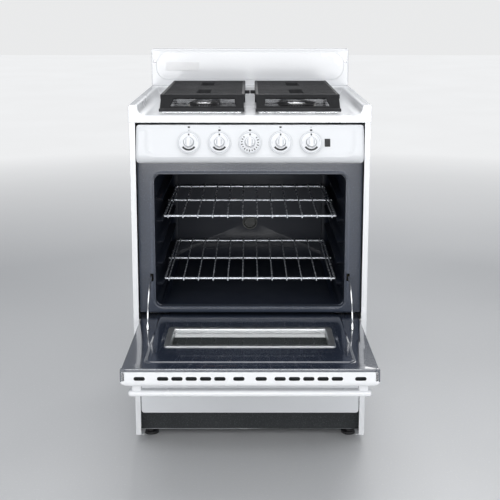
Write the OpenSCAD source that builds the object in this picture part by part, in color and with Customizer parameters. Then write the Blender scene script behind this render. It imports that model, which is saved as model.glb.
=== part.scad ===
// Freestanding gas range: open burners, low backguard, drop-down oven door, lower drawer.
// X is across the range, Y runs from the front (negative) to the back, Z is up from the floor.
// The origin is on the floor under the middle of the cabinet. Depths are measured from the
// front plane of the side panels, and at_depth() turns them into Y.

/* [Overall] */
// Width over the cooktop
overall_w = 610; // [600:1:760]
// Depth from the front of the side panels to the back of the cooktop
cabinet_d = 630; // [620:1:760]
// Height of the cooktop rim above the floor
cooktop_h = 900; // [860:5:1080]
// Height of the backguard above the rim
backguard_rise = 112; // [80:1:220]
// Clear height under the cabinet
foot_h = 22; // [18:1:40]

/* [Sheet metal] */
// Thickness of the cabinet's sheet metal
sheet = 1.2; // [0.8:0.1:2]
// Width of the side panels' front flanges
side_flange = 14; // [8:1:20]
// Height of the kick panel
kick_h = 70; // [50:1:90]
// How far the kick panel stands back
kick_setback = 34; // [20:1:60]
// How far the oven front frame stands back
frame_setback = 29; // [26:1:34]

/* [Cooktop] */
// Width of the flat rim at each side
rim_w = 12; // [8:1:20]
// Depth of the cooking deck below the rim
deck_drop = 26.5; // [20:0.5:34]
// Height of the front apron
apron_h = 44.5; // [40:0.5:60]
// Depth of the backguard
backguard_d = 35; // [25:1:60]
// Distance of the front burners behind the front plane
front_burner_depth = 150; // [140:1:180]
// Distance of the rear burners in front of the grates' back bar
rear_burner_inset = 133; // [110:1:170]
// Radius of a standard burner cap
cap_r = 39.5; // [30:0.5:46]
// Radius of the large front burner's cap
big_cap_r = 51.5; // [40:0.5:56]

/* [Grates] */
// Gap between a grate and the deck's side cove
grate_side_gap = 29.5; // [10:0.5:40]
// Gap from the middle to each grate
grate_gap = 14; // [8:1:30]
// Height of the grates' top above the rim
grate_rise = 18; // [12:1:30]
// Depth of a grate's front bar behind the front plane
grate_front = 40; // [36:1:60]
// Gap between the grates and the backguard
grate_rear_gap = 33; // [26:1:60]
// Spacing of the cross bars
bar_pitch = 27; // [22:1:40]
// Thickness of a cross bar
bar_t = 7; // [4:0.5:10]

/* [Control panel] */
// Height of the control panel
panel_h = 96; // [90:1:120]
// Gap under the cooktop's apron
panel_gap = 6; // [4:0.5:12]
// How far the panel bulges in front of the side panels
panel_bulge = 20; // [12:1:26]
// Spacing of the knobs
knob_pitch = 76.5; // [66:0.5:90]
// Height of the knobs above the panel's lower edge
knob_rise = 52.5; // [48:0.5:60]
// Radius of a knob's skirt
knob_r = 28; // [22:0.5:32]
// Radius of a valve stem
stem_r = 4; // [3:0.25:5]
// Radial running clearance of shafts in their holes
run_gap = 0.05; // [0.02:0.01:0.1]
// How far a knob pushes in
knob_push = 3; // [2:0.5:3]

/* [Oven] */
// Space beside the oven for insulation
oven_side_space = 57.5; // [54:0.5:80]
// Corner radius of the oven
oven_r = 12; // [8:1:20]
// Space behind the oven for insulation and the flue
oven_rear_space = 104.5; // [100:0.5:140]
// Wall of the oven liner
oven_t = 1.5; // [1:0.1:2.5]
// Spacing of the rack guides
guide_pitch = 56.7; // [45:0.1:70]
// Height of the lowest rack above the oven floor
first_guide = 58; // [50:1:80]
// Gap between a rack and the oven's wall
rack_side_gap = 10; // [6:0.5:12]
// Gap in front of a closed rack
rack_front_gap = 50; // [30:1:80]
// Gap behind a closed rack
rack_rear_gap = 6; // [4:0.5:12]
// Radius of the racks' frame wire
frame_wire_r = 3; // [2.5:0.25:4]
// Radius of the racks' grid wires
grid_wire_r = 1.8; // [1.5:0.1:2.5]
// Number of grid wires in a rack
grid_wires = 12; // [8:1:16]

/* [Door] */
// Angle of the open door from closed
door_open = 88; // [80:1:90]
// Gap between the door and the side panels' flanges
door_side_gap = 2.5; // [2:0.5:6]
// Thickness of the door
door_t = 45; // [40:1:50]
// Thickness of the enamelled liner at the back of the door
liner_t = 10.5; // [8:0.5:14]
// Height of the hinge above the drawer's top
hinge_rise = 46.5; // [44:0.5:50]
// Length of the door below its hinge
door_tail = 40; // [34:1:42]
// Width of the door beside the window's metal retainer
window_side = 83.5; // [76:0.5:120]
// Height of the window's metal retainer
window_h = 156; // [100:1:200]
// How far the handle stops short of the door's edges
handle_inset = 13.5; // [10:0.5:60]
// Gap between handle and door for fingers
handle_gap = 16.5; // [14:0.5:20]

/* [Drawer] */
// Height of the drawer front
drawer_h = 197; // [150:1:210]
// Thickness of the drawer front
drawer_t = 20; // [15:1:24]
// Space behind the drawer
drawer_rear_space = 162; // [150:1:300]
// Space beside the drawer's tray for its rails
rail_space = 46.5; // [45:0.5:80]

/* [Hidden] */
// Heights, from the floor up and from the rim down
body_w = overall_w - 5;
body_x = body_w / 2;
frame_half = body_x - side_flange - 0.5;
inner_x = body_x - sheet;
apron_z = cooktop_h - apron_h;
deck_z = cooktop_h - deck_drop;
panel_top = apron_z - panel_gap;
panel_z = panel_top - panel_h;
kick_top = foot_h + 3 + kick_h;
drawer_z = kick_top - 4;
drawer_top = drawer_z + drawer_h;
hinge_z = drawer_top + hinge_rise;
door_top = panel_z - 4.5;
oven_z = hinge_z + 35.5;
oven_top = door_top - 31;
oven_h = oven_top - oven_z;

// Depths
seal_gap = 1.5;
hinge_depth = frame_setback - 14;
liner_face = 14 - seal_gap;
outer_face = liner_face - door_t;
border_face = liner_face - 3;
return_t = liner_face - liner_t;
oven_front = frame_setback + oven_t;
oven_back = cabinet_d - oven_rear_space;
cover_depth = cabinet_d - 4;
backguard_front = cabinet_d - backguard_d - 2;

// Cabinet
fit_gap = 0.5;
base_rail_w = 52;
foot_x = body_x - 34.5;
front_foot = 68;
rear_foot = cabinet_d - 70;
foot_r = 20;
foot_stem_r = 4;
drawer_w = body_w - 2 * rail_space;
drawer_d = cabinet_d - drawer_rear_space;
rail_z = drawer_z + 49;
rail_h = 24;
rail_back = drawer_d + 32;
tray_z = drawer_z + 14;
tray_h = 125;
runner_gap = 1;
broil_half = drawer_w / 2 - 56;
broil_depth = [40, drawer_d - 58];
pour_gap = 60;
broil_h = 38;

// Cooktop and burners
skin = 1.5;
edge_r = 5;
cove_r = 20;
lip_r = deck_drop - cove_r;
pan_t = 1.5;
pan_z = deck_z + pan_t;
deck_half = overall_w / 2 - edge_r - rim_w - lip_r - cove_r;
grate_back = backguard_front - grate_rear_gap;
grate_w = deck_half - grate_side_gap - grate_gap;
burner_x = grate_gap + grate_w / 2 - 1;
rear_burner_depth = grate_back - rear_burner_inset;
neck_r = 12;
tube_r = 9;
tube_z = deck_z - 36;
tube_clash = abs(burner_x - 2 * knob_pitch) < neck_r + tube_r + 4;
rear_tube_drop = tube_clash ? neck_r + tube_r + 2 : 0;
burners = [[-burner_x, front_burner_depth, cap_r], [burner_x, front_burner_depth, big_cap_r],
           [-burner_x, rear_burner_depth, cap_r], [burner_x, rear_burner_depth, cap_r]];

// Grates
grate_top = cooktop_h + grate_rise;
grate_flat = grate_front + 55;
bar_h = 12;
finger_gap = 35;

// Control panel: the face runs from the band's edge to the crease, leaning back going up
band_drop = 14;
band_lean = 3.5;
crease_z = panel_z + 24;
face_run = panel_bulge - band_lean;
face_rise = panel_top - band_drop - crease_z;
panel_lean = atan(face_run / face_rise);
knob_z = panel_z + knob_rise;
knob_depth = -band_lean - (panel_top - band_drop - knob_z) * face_run / face_rise;
panel_half = frame_half - 1.5;
switch_x = 2 * knob_pitch + 40.7;
rocker_pivot = -1.5;
skirt_gap = knob_push + 0.5;
stem_back = 45;
valve_front = 22;
valve_back = 62;
pipe_r = 9;
pipe_back = 70;
pipe_depth = knob_depth + pipe_back * cos(panel_lean);
pipe_z = knob_z - pipe_back * sin(panel_lean);
inlet_x = body_x - 40;
inlet_r = 9.3;
gland_x = 62.5 - body_x;
gland_z = 180;
regulator_d = 36;

// Oven
guide_count = 1 + floor((oven_h - first_guide - 50) / guide_pitch);
upper_guide = max(1, guide_count - 2);
oven_w = body_w - 2 * oven_side_space;
rack_w = oven_w - 2 * rack_side_gap;
rack_depth = oven_front + rack_front_gap;
rack_d = oven_back - rack_rear_gap - rack_depth;
rack_x = rack_w / 2 - frame_wire_r;
ledge_h = 6;
floor_t = 1.5;
floor_half = oven_w / 2 - oven_r - 1;
box_half = oven_w / 2 - 30;
spreader_half = box_half - 55;
box_front = oven_front + 34.5;
box_back = oven_back - 26;
box_h = 68.5;
wool_half = body_x - 14.5;
wool_top = oven_top + 30;
flue_half = 60;
flue_z = oven_top - 28;
lamp_z = oven_z + 114.6;

// Door, measured from its hinge: t towards the oven and l up the closed door
door_l = door_top - hinge_z;
door_half = frame_half + 0.5 - door_side_gap;
door_w = 2 * door_half;
window_l = 109;
window_half = door_half - window_side;
handle_w = door_w - 2 * handle_inset;
lip_w = 14;
glass_t = 4;
outer_glass_half = window_half + 12.5;
outer_glass_l = [window_l - 19, window_l + window_h + 25];
plateau = door_half - 51;
arm_x = oven_w / 2 + 10.5;
arm_r = [108, 118];
arm_t = 3;
arm_sweep = [3, 100];
pin_r = 4;
boss_r = 8;
bracket_x = (door_half + inner_x) / 2 - 3;
handle_l = door_l - 34.5;
handle_t = 14;
handle_h = 26;
slot_w = 25;
slot_h = 9;
slot_places = [for (x = [24.6, 66.3, 97.8, 129.4, 160.8, 192.3, 243.9]) x * door_half / 286];

$fn = 48;

// Helpers
function at_depth(d) = d - cabinet_d / 2;
function arc(c, r, a0, a1, n = 6) =
  [for (i = [0:n]) let (a = a0 + (a1 - a0) * i / n) [c[0] + r * cos(a), c[1] + r * sin(a)]];
function flip(points) = [for (i = [len(points) - 1:-1:0]) [-points[i][0], points[i][1]]];
function reversed(points) = [for (i = [len(points) - 1:-1:0]) points[i]];

// A box between two values in x, in depth and in z
module block(x, d, z)
  translate([x[0], at_depth(d[0]), z[0]]) cube([x[1] - x[0], d[1] - d[0], z[1] - z[0]]);

// Extrudes an outline of x and z from one depth to another
module along_y(d)
  translate([0, at_depth(d[1]), 0]) rotate([90, 0, 0]) linear_extrude(d[1] - d[0]) children();

// Extrudes an outline of y and z from one x to another
module along_x(x)
  translate([x[0], 0, 0]) rotate([90, 0, 90]) linear_extrude(x[1] - x[0]) children();

// A rectangle with true round corners
module rounded_rect(x, z, r) {
  translate([x[0] + r, z[0]]) square([x[1] - x[0] - 2 * r, z[1] - z[0]]);
  translate([x[0], z[0] + r]) square([x[1] - x[0], z[1] - z[0] - 2 * r]);
  for (a = [x[0] + r, x[1] - r], b = [z[0] + r, z[1] - r])
    translate([a, b]) circle(r);
}

module pair() {
  children();
  mirror([1, 0, 0]) children();
}

module rod(from, to, r) {
  run = to - from;
  flat = norm([run[0], run[1]]);
  translate(from) rotate([0, atan2(flat, run[2]), atan2(run[1], run[0])])
    cylinder(r = r, h = norm(run));
}

// Places what is built on the control panel's face, with z out of the face
module on_panel(x)
  translate([x, at_depth(knob_depth), knob_z]) rotate([90 - panel_lean, 0, 0]) children();

// Places what is built in the closed door's frame: x, t towards the oven, l up the door
module on_door()
  translate([0, at_depth(hinge_depth), hinge_z]) rotate([door_open, 0, 0]) children();

module door_block(x, t, l)
  translate([x[0], t[0], l[0]]) cube([x[1] - x[0], t[1] - t[0], l[1] - l[0]]);

function knob_x(i) = (i - 3) * knob_pitch;

// Cabinet
module side_panel() {
  block([body_x - sheet, body_x], [0, cabinet_d - 2], [foot_h, apron_z - fit_gap]);
  block([body_x - sheet, body_x], [10, cabinet_d - 12], [apron_z - fit_gap, apron_z + 12]);
  block([body_x - side_flange, body_x - sheet], [0, sheet], [foot_h, apron_z - fit_gap]);
  block([body_x - 22, body_x - sheet], [sheet, cabinet_d - 6], [foot_h, foot_h + sheet]);
  block([body_x - 16, body_x - sheet], [cover_depth - sheet, cover_depth],
        [foot_h + sheet, apron_z - fit_gap]);
}

module side_panel_left() color("white") mirror([1, 0, 0]) side_panel();
module side_panel_right() color("white") side_panel();

module rear_cover() color("gainsboro")
  difference() {
    block([-inner_x + 2, inner_x - 2], [cover_depth, cover_depth + sheet], [60, apron_z - 2]);
    translate([inlet_x, at_depth(cover_depth) - 1, pipe_z])
      rotate([-90, 0, 0]) cylinder(r = 15, h = 4);
    translate([gland_x, at_depth(cover_depth) - 1, gland_z]) rotate([-90, 0, 0]) cylinder(r = 8, h = 4);
    for (i = [0:8])
      block([-90 + i * 22, -80 + i * 22], [cover_depth - 1, cover_depth + 3], [600, 680]);
  }

module foot_places()
  for (x = [-foot_x, foot_x], d = [front_foot, rear_foot])
    translate([x, at_depth(d), 0]) children();

module base_frame() color("dimgray") {
  z = foot_h + sheet;
  difference() {
    union() {
      pair() {
        block([inner_x - base_rail_w, inner_x], [36, cabinet_d - 10], [z, z + 2]);
        block([inner_x - base_rail_w, inner_x - base_rail_w + 2], [36, cabinet_d - 10],
              [z + 2, z + 22]);
      }
      block([-inner_x + base_rail_w, inner_x - base_rail_w], [36, 66], [z, z + 2]);
      block([-inner_x + base_rail_w, inner_x - base_rail_w], [cabinet_d - 40, cabinet_d - 10],
            [z, z + 2]);
      foot_places() translate([0, 0, z + 2]) cylinder(r = 9, h = 10, $fn = 6);
    }
    foot_places() cylinder(r = foot_stem_r + run_gap, h = 60);
  }
}

module kick_panel() color("darkslategray") {
  block([-inner_x + fit_gap, inner_x - fit_gap], [kick_setback, kick_setback + sheet],
        [foot_h + 3, kick_top]);
  block([-inner_x + fit_gap, inner_x - fit_gap], [kick_setback + sheet, kick_setback + 20],
        [kick_top - sheet, kick_top]);
}

module levelling_feet() color("dimgray")
  foot_places() {
    cylinder(r = foot_r, h = 7);
    translate([0, 0, 7]) cylinder(r = 11, h = foot_h - 8.5, $fn = 6);
    translate([0, 0, foot_h - 1.5]) cylinder(r = foot_stem_r, h = 36);
  }

module oven_front_frame() color("midnightblue")
  difference() {
    along_y([frame_setback, frame_setback + oven_t]) difference() {
      translate([-frame_half, oven_z - 18])
        square([2 * frame_half, oven_top + 45 - oven_z + 18]);
      rounded_rect([-oven_w / 2, oven_w / 2], [oven_z, oven_top], 18);
    }
    pair() block([arm_x - 4, arm_x + 4], [frame_setback - 1, frame_setback + 3],
                 [hinge_z + arm_r[0] - 6, hinge_z + arm_r[1] + 4]);
  }

// Cooktop
function side_edge(o) = concat(
  [[overall_w / 2 - o, apron_z]],
  arc([overall_w / 2 - edge_r, cooktop_h - edge_r], edge_r - o, 0, 90),
  arc([overall_w / 2 - edge_r - rim_w, cooktop_h - lip_r], lip_r - o, 90, 180),
  arc([overall_w / 2 - edge_r - rim_w - lip_r - cove_r, deck_z + cove_r], cove_r + o, 360, 270));

module cooktop() color("white")
  difference() {
    union() {
      along_y([0, cabinet_d]) polygon(concat(
        side_edge(0), flip(side_edge(0)), reversed(flip(side_edge(skin))),
        reversed(side_edge(skin))));
      along_y([0, skin]) polygon(concat(side_edge(0), flip(side_edge(0))));
      block([-overall_w / 2 + skin, overall_w / 2 - skin], [cabinet_d - skin, cabinet_d],
            [apron_z, cooktop_h]);
      along_y([backguard_front - 12, backguard_front - 12 + skin])
        translate([-overall_w / 2 + rim_w + 10, deck_z - skin])
        square([overall_w - 2 * rim_w - 20, deck_drop + skin]);
      block([-overall_w / 2 + rim_w, overall_w / 2 - rim_w],
            [backguard_front - 12 + skin, cabinet_d], [cooktop_h - skin, cooktop_h]);
    }
    for (b = burners) translate([b[0], at_depth(b[1]), deck_z - 5]) cylinder(r = 16, h = 10);
    block([-flue_half - 2, flue_half + 2], [backguard_front + 3, cabinet_d - 5],
          [deck_z - 10, cooktop_h + 5]);
  }

module backguard() color("white") {
  half = overall_w / 2 - 2;
  top = cooktop_h + backguard_rise;
  emboss_z = [cooktop_h + 20, top - 12];
  difference() {
    union() {
      block([-half, half], [backguard_front, cabinet_d - 2], [cooktop_h, top]);
      along_y([backguard_front - 1.5, backguard_front])
        rounded_rect([-half + 17, half - 17], emboss_z, 35);
    }
    block([-half + sheet, half - sheet], [backguard_front + sheet, cabinet_d - 2 - sheet],
          [cooktop_h + sheet, top - sheet]);
    block([-flue_half - 2, flue_half + 2], [backguard_front + 3, cabinet_d - 5],
          [cooktop_h - 1, cooktop_h + 5]);
    for (i = [-6:6])
      block([i * 30 - 10, i * 30 + 10], [cabinet_d - 5, cabinet_d], [top - 30, top - 22]);
  }
}

module badge_plate() color("silver")
  block([47 - overall_w / 2, 148 - overall_w / 2], [backguard_front - 2.7, backguard_front - 1.5],
        [cooktop_h + 47, cooktop_h + 73]);

module drip_pan() {
  x = [grate_gap + 8.5, grate_gap + grate_w - 8.5];
  d = [grate_front + 10, grate_back - 8];
  difference() {
    union() {
      block(x, d, [deck_z, pan_z]);
      difference() {
        block(x, d, [pan_z, pan_z + 3]);
        block([x[0] + pan_t, x[1] - pan_t], [d[0] + pan_t, d[1] - pan_t], [pan_z, pan_z + 4]);
      }
    }
    for (b = burners)
      translate([abs(b[0]), at_depth(b[1]), deck_z - 1]) cylinder(r = neck_r + 1, h = 5);
  }
}

module drip_pans() color("silver") pair() drip_pan();

module burner_heads() color("silver")
  for (b = burners)
    translate([b[0], at_depth(b[1]), pan_z]) rotate_extrude() polygon([
      [0, 0], [b[2] * 0.86, 0], [b[2] * 0.8, 3], [b[2] * 0.74, 12], [b[2] * 0.55, 13],
      [b[2] * 0.5, 15], [b[2] * 0.3, 17.5], [0, 17.5]]);

module burner_caps() color("black")
  for (b = burners)
    translate([b[0], at_depth(b[1]), pan_z + 13]) rotate_extrude() polygon([
      [b[2] * 0.56, 0.3], [b[2] * 0.74, 0], [b[2], 0], [b[2] * 0.98, 3.5], [b[2] * 0.6, 5],
      [b[2] * 0.56, 4]]);

module burner_tubes() color("silver")
  for (i = [0:3]) {
    b = burners[i];
    valve_x = knob_x([2, 5, 1, 4][i]);
    z = i < 2 ? tube_z : tube_z - rear_tube_drop;
    from = [b[0], at_depth(b[1]), z];
    to = [valve_x, at_depth(pipe_depth + 22), z];
    difference() {
      union() {
        translate([b[0], at_depth(b[1]), z - tube_r - 1])
          cylinder(r = neck_r, h = pan_z - z + tube_r + 1);
        rod(from, to, tube_r);
      }
      rod(from + (to - from) * 0.02, from + (to - from) * 1.01, tube_r - sheet);
    }
  }

module spark_electrodes() color("ivory")
  for (b = burners)
    translate([b[0] + sign(b[0]) * (b[2] * 0.86 + 5), at_depth(b[1] + 12), pan_z]) {
      cylinder(r = 3, h = 9);
      cylinder(r = 1, h = 13);
    }

// Gas
module gas_manifold() color("silver") {
  start = [knob_x(1) - 25, at_depth(pipe_depth), pipe_z];
  corner = [inlet_x, at_depth(pipe_depth), pipe_z];
  rod(start, corner, pipe_r);
  translate(corner) sphere(r = pipe_r);
  rod(corner, [inlet_x, at_depth(cover_depth - 14 - regulator_d), pipe_z], pipe_r);
}

// A valve body behind the panel, hollowed for its stem and for the manifold pipe
module valve(x, half_w)
  difference() {
    on_panel(x) {
      translate([0, 0, -valve_back]) cylinder(r = 11, h = valve_back - valve_front);
      translate([-half_w, -12, -valve_back]) cube([2 * half_w, 24, 24]);
      translate([0, 0, -valve_front - 1]) cylinder(r = 7, h = 9);
    }
    on_panel(x)
      translate([0, 0, -stem_back - knob_push - 1]) cylinder(r = stem_r + run_gap, h = 60);
    rod([x - 60, at_depth(pipe_depth), pipe_z], [x + 60, at_depth(pipe_depth), pipe_z],
        pipe_r + 0.1);
  }

module burner_valves() color("goldenrod") for (i = [1, 2, 4, 5]) valve(knob_x(i), 11);
module oven_thermostat() color("silver") valve(0, 22);

module gas_regulator() color("lightslategray") {
  back = cover_depth - 14;
  difference() {
    union() {
      block([inlet_x - 18, inlet_x + 18], [back - regulator_d, back], [pipe_z - 20, pipe_z + 20]);
      translate([inlet_x, at_depth(back), pipe_z]) rotate([-90, 0, 0])
        cylinder(r = 14, h = cabinet_d - back);
    }
    translate([inlet_x, at_depth(cabinet_d) - 18, pipe_z])
      rotate([-90, 0, 0]) cylinder(r = inlet_r, h = 19);
  }
}

module valve_stem(i) color("goldenrod")
  on_panel(knob_x(i)) translate([0, 0, -stem_back])
    cylinder(r = stem_r, h = stem_back + skirt_gap + 14);

module knob(i) color("white")
  on_panel(knob_x(i)) difference() {
    union() {
      translate([0, 0, skirt_gap]) cylinder(r1 = knob_r, r2 = knob_r - 1.5, h = 3);
      translate([0, 0, skirt_gap + 3]) cylinder(r = 13, h = 15);
      translate([-4.75, -13, skirt_gap + 3]) cube([9.5, 26, 18.5]);
    }
    translate([0, 0, skirt_gap - 1]) cylinder(r = stem_r + run_gap, h = 15.5);
  }

// Control panel
function panel_face(o) = concat(
  [[at_depth(frame_setback + o), panel_top - o], [at_depth(o), panel_top - o],
   [at_depth(o - band_lean), panel_top - band_drop]],
  [for (a = [0:15:90]) [at_depth(-5 + o - (panel_bulge - 5) * cos(a)),
                        crease_z - (crease_z - panel_z - o) * sin(a)]],
  [[at_depth(frame_setback + o), panel_z + o]]);

module control_panel() color("white")
  difference() {
    along_x([-panel_half, panel_half]) polygon(panel_face(0));
    along_x([-panel_half + sheet, panel_half - sheet]) polygon(panel_face(sheet));
    for (i = [1:5]) on_panel(knob_x(i)) translate([0, 0, -10]) cylinder(r = stem_r + 4, h = 20);
    on_panel(switch_x) translate([-6.2, -9.2, -10]) cube([12.4, 18.4, 20]);
  }

module switch_housing() color("black")
  on_panel(switch_x) difference() {
    union() {
      translate([-7, -10, 0.1]) cube([14, 20, 1.4]);
      translate([-6, -9, -16]) cube([12, 18, 16.1]);
    }
    translate([-4.7, -7.7, -12]) cube([9.4, 15.4, 20]);
    translate([-5.6, 0, rocker_pivot]) rotate([0, 90, 0]) cylinder(r = 1 + run_gap, h = 11.2);
  }

module light_rocker() color("dimgray")
  on_panel(switch_x) translate([0, 0, rocker_pivot]) rotate([-8, 0, 0]) {
    translate([-4.2, 0, 0]) rotate([90, 0, 90]) linear_extrude(8.4) polygon([
      [-6.8, -1.5], [-6.8, 3.6], [0, 2.6], [6.8, 3.6], [6.8, -1.5], [0, -5]]);
    translate([-5.4, 0, 0]) rotate([0, 90, 0]) cylinder(r = 1, h = 10.8);
  }

// Oven
module rack_ledge(i) {
  z = oven_z + first_guide + i * guide_pitch - frame_wire_r;
  pair() block([rack_x - 4, oven_w / 2 + 1], [oven_front + 20, oven_back - 10], [z - ledge_h, z]);
}

module oven_cavity() color("midnightblue")
  difference() {
    union() {
      along_y([oven_front, oven_back + oven_t]) rounded_rect(
        [-oven_w / 2 - oven_t, oven_w / 2 + oven_t], [oven_z - oven_t, oven_top + oven_t],
        oven_r + oven_t);
      block([-box_half, box_half], [box_front, box_back], [oven_z - box_h, oven_z - oven_t]);
    }
    difference() {
      along_y([oven_front - 1, oven_back])
        rounded_rect([-oven_w / 2, oven_w / 2], [oven_z, oven_top], oven_r);
      for (i = [0:guide_count - 1]) rack_ledge(i);
    }
    block([-box_half + oven_t, box_half - oven_t], [box_front + oven_t, box_back - oven_t],
          [oven_z - box_h - 1, oven_z + 1]);
    block([-flue_half + 10, flue_half - 10], [oven_back - 1, oven_back + 3],
          [flue_z + 4, flue_z + 20]);
    translate([0, at_depth(oven_back) - 1, lamp_z]) rotate([-90, 0, 0]) cylinder(r = 18, h = 4);
  }

module oven_floor_panel() color("midnightblue")
  difference() {
    block([-floor_half, floor_half], [oven_front + 3, oven_back - 3], [oven_z, oven_z + floor_t]);
    pair() block([floor_half - 16, floor_half - 4], [oven_front + 12, oven_back - 40],
                 [oven_z - 1, oven_z + 3]);
  }

module flame_spreader() color("slategray") {
  z = oven_z - 19;
  block([-spreader_half, spreader_half], [box_front + 40, box_back - 40], [z, z + 1.5]);
  pair() for (d = [box_front + 60, box_back - 90])
    block([spreader_half, box_half - oven_t], [d, d + 20], [z, z + 1.5]);
}

module oven_burner() color("slategray") {
  z = oven_z - 45;
  difference() {
    rod([0, at_depth(box_front + oven_t), z], [0, at_depth(box_back - 70), z], 14);
    rod([0, at_depth(box_front + oven_t) - 1, z], [0, at_depth(box_back - 75), z], 12.5);
    for (i = [0:11]) pair()
      block([13, 15], [box_front + 70 + i * 24, box_front + 76 + i * 24], [z - 1.5, z + 1.5]);
  }
}

module thermostat_bulb() color("peru") {
  z = oven_top - 18;
  rod([-170, at_depth(oven_back - 14), z], [-40, at_depth(oven_back - 14), z], 4);
  for (x = [-150, -60])
    block([x - 4, x + 4], [oven_back - 11, oven_back], [z - 3, z + 3]);
}

module oven_lamp() color("lightyellow")
  translate([0, at_depth(oven_back), lamp_z]) rotate([-90, 0, 0]) {
    translate([0, 0, -3]) cylinder(r = 23, h = 3);
    translate([0, 0, -8]) cylinder(r1 = 15, r2 = 20, h = 5);
    cylinder(r = 17.8, h = 38);
  }

module oven_insulation() color("khaki")
  difference() {
    block([-wool_half, wool_half], [oven_front + 4, oven_back + 27], [oven_z - 18, wool_top]);
    block([-oven_w / 2 - 2, oven_w / 2 + 2], [oven_front, oven_back + 2],
          [oven_z - 40, oven_top + 2]);
    block([-flue_half - 2, flue_half + 2], [oven_back, oven_back + 40],
          [flue_z - 2, wool_top + 1]);
    translate([0, at_depth(oven_back), lamp_z]) rotate([-90, 0, 0]) cylinder(r = 19, h = 50);
    pair() block([arm_x - 7, arm_x + 7], [oven_front, hinge_depth + arm_r[1] + 10],
                 [oven_z - 40, hinge_z + arm_r[1] + 12]);
  }

module flue_duct() color("silver") {
  riser = [backguard_front + 4, cabinet_d - 6];
  difference() {
    union() {
      block([-flue_half, flue_half], [oven_back + oven_t, riser[1]], [flue_z, flue_z + 24]);
      block([-flue_half, flue_half], riser, [flue_z, cooktop_h + 4]);
    }
    block([-flue_half + sheet, flue_half - sheet], [oven_back, riser[1] - sheet],
          [flue_z + sheet, flue_z + 24 - sheet]);
    block([-flue_half + sheet, flue_half - sheet], [riser[0] + sheet, riser[1] - sheet],
          [flue_z + sheet, cooktop_h + 5]);
  }
}

module rack(i) color("silver") {
  z = oven_z + first_guide + i * guide_pitch;
  front = at_depth(rack_depth);
  back = at_depth(rack_depth + rack_d);
  pair() rod([rack_x, front, z], [rack_x, back, z], frame_wire_r);
  for (y = [front, (front + back) / 2, back])
    rod([-rack_x, y, z], [rack_x, y, z], frame_wire_r);
  for (x = [-rack_x, rack_x], y = [front, back]) translate([x, y, z]) sphere(r = frame_wire_r);
  for (k = [0:grid_wires - 1]) {
    x = (k - (grid_wires - 1) / 2) * rack_w / grid_wires;
    rod([x, front - 1, z + 3], [x, back, z + 3], grid_wire_r);
  }
}

// Drawer
module drawer_rails() color("silver")
  pair() {
    difference() {
      block([drawer_w / 2 + 14, drawer_w / 2 + 28], [40, rail_back], [rail_z, rail_z + rail_h]);
      block([drawer_w / 2 + 13, drawer_w / 2 + 26], [39, rail_back + 1],
            [rail_z + 2, rail_z + rail_h - 2]);
    }
    for (d = [60, rail_back - 40])
      block([drawer_w / 2 + 28, inner_x], [d, d + 30], [rail_z + 4, rail_z + 20]);
  }

module drawer_front() color("white")
  difference() {
    along_y([-drawer_t + 2, 2])
      rounded_rect([-frame_half + 3, frame_half - 3], [drawer_z, drawer_top], 8);
    along_y([-drawer_t + 2 + sheet, 3])
      rounded_rect([-frame_half + 3 + sheet, frame_half - 3 - sheet],
                   [drawer_z + sheet, drawer_top - sheet], 7);
  }

module drawer_body() color("silver") {
  half = drawer_w / 2;
  block([-frame_half + 5, frame_half - 5], [2, 2 + sheet], [drawer_z + 3, drawer_top - 3]);
  difference() {
    block([-half, half], [2 + sheet, drawer_d], [tray_z, tray_z + tray_h]);
    block([-half + sheet, half - sheet], [2 + 2 * sheet, drawer_d - sheet],
          [tray_z + sheet, tray_z + tray_h + 1]);
  }
  pair() block([half, half + 26 - runner_gap], [44, drawer_d],
               [rail_z + 2 + runner_gap, rail_z + rail_h - 2 - runner_gap]);
}

module broiler_pan() color("dimgray") {
  z = tray_z + sheet;
  difference() {
    block([-broil_half, broil_half], broil_depth, [z, z + broil_h]);
    block([-broil_half + pan_t, broil_half - pan_t],
          [broil_depth[0] + pan_t, broil_depth[1] - pan_t], [z + pan_t, z + broil_h + 1]);
  }
}

module broiler_grid() color("gray") {
  z = tray_z + sheet + broil_h;
  difference() {
    block([-broil_half - 3, broil_half + 3], [broil_depth[0] - 3, broil_depth[1] - pour_gap],
          [z, z + 2]);
    for (i = [0:10]) pair()
      block([12, broil_half - 20], [60 + i * 24, 66 + i * 24], [z - 1, z + 3]);
  }
}

// Door
function door_outline(o) = concat(
  [[return_t + o, door_l - o]],
  arc([outer_face + 11, door_l - 11], 11 - o, 90, 180),
  arc([outer_face + 20, -door_tail + 20], 20 - o, 180, 270),
  [[return_t + o, -door_tail + o]]);

module door_panel() color("white")
  on_door() {
    difference() {
      translate([-door_half, 0, 0]) rotate([90, 0, 90])
        linear_extrude(door_w) polygon(door_outline(0));
      translate([-door_half + sheet, 0, 0]) rotate([90, 0, 90])
        linear_extrude(door_w - 2 * sheet) polygon(door_outline(sheet));
      door_block([10 - outer_glass_half, outer_glass_half - 10],
                 [outer_face - 1, outer_face + 3],
                 [outer_glass_l[0] + 10, outer_glass_l[1] - 10]);
      for (x = slot_places) pair()
        door_block([x - slot_w / 2, x + slot_w / 2], [-13 - slot_h / 2, -13 + slot_h / 2],
                   [door_l - 3, door_l + 1]);
      pair() translate([door_half - 3, 0, 0]) rotate([0, 90, 0])
        cylinder(r = pin_r + run_gap, h = 6);
    }
    pair() difference() {
      translate([door_half - 18, 0, 0]) rotate([0, 90, 0])
        cylinder(r = boss_r, h = 18 - sheet);
      translate([door_half - 19, 0, 0]) rotate([0, 90, 0])
        cylinder(r = pin_r + run_gap, h = 20);
    }
  }

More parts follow.
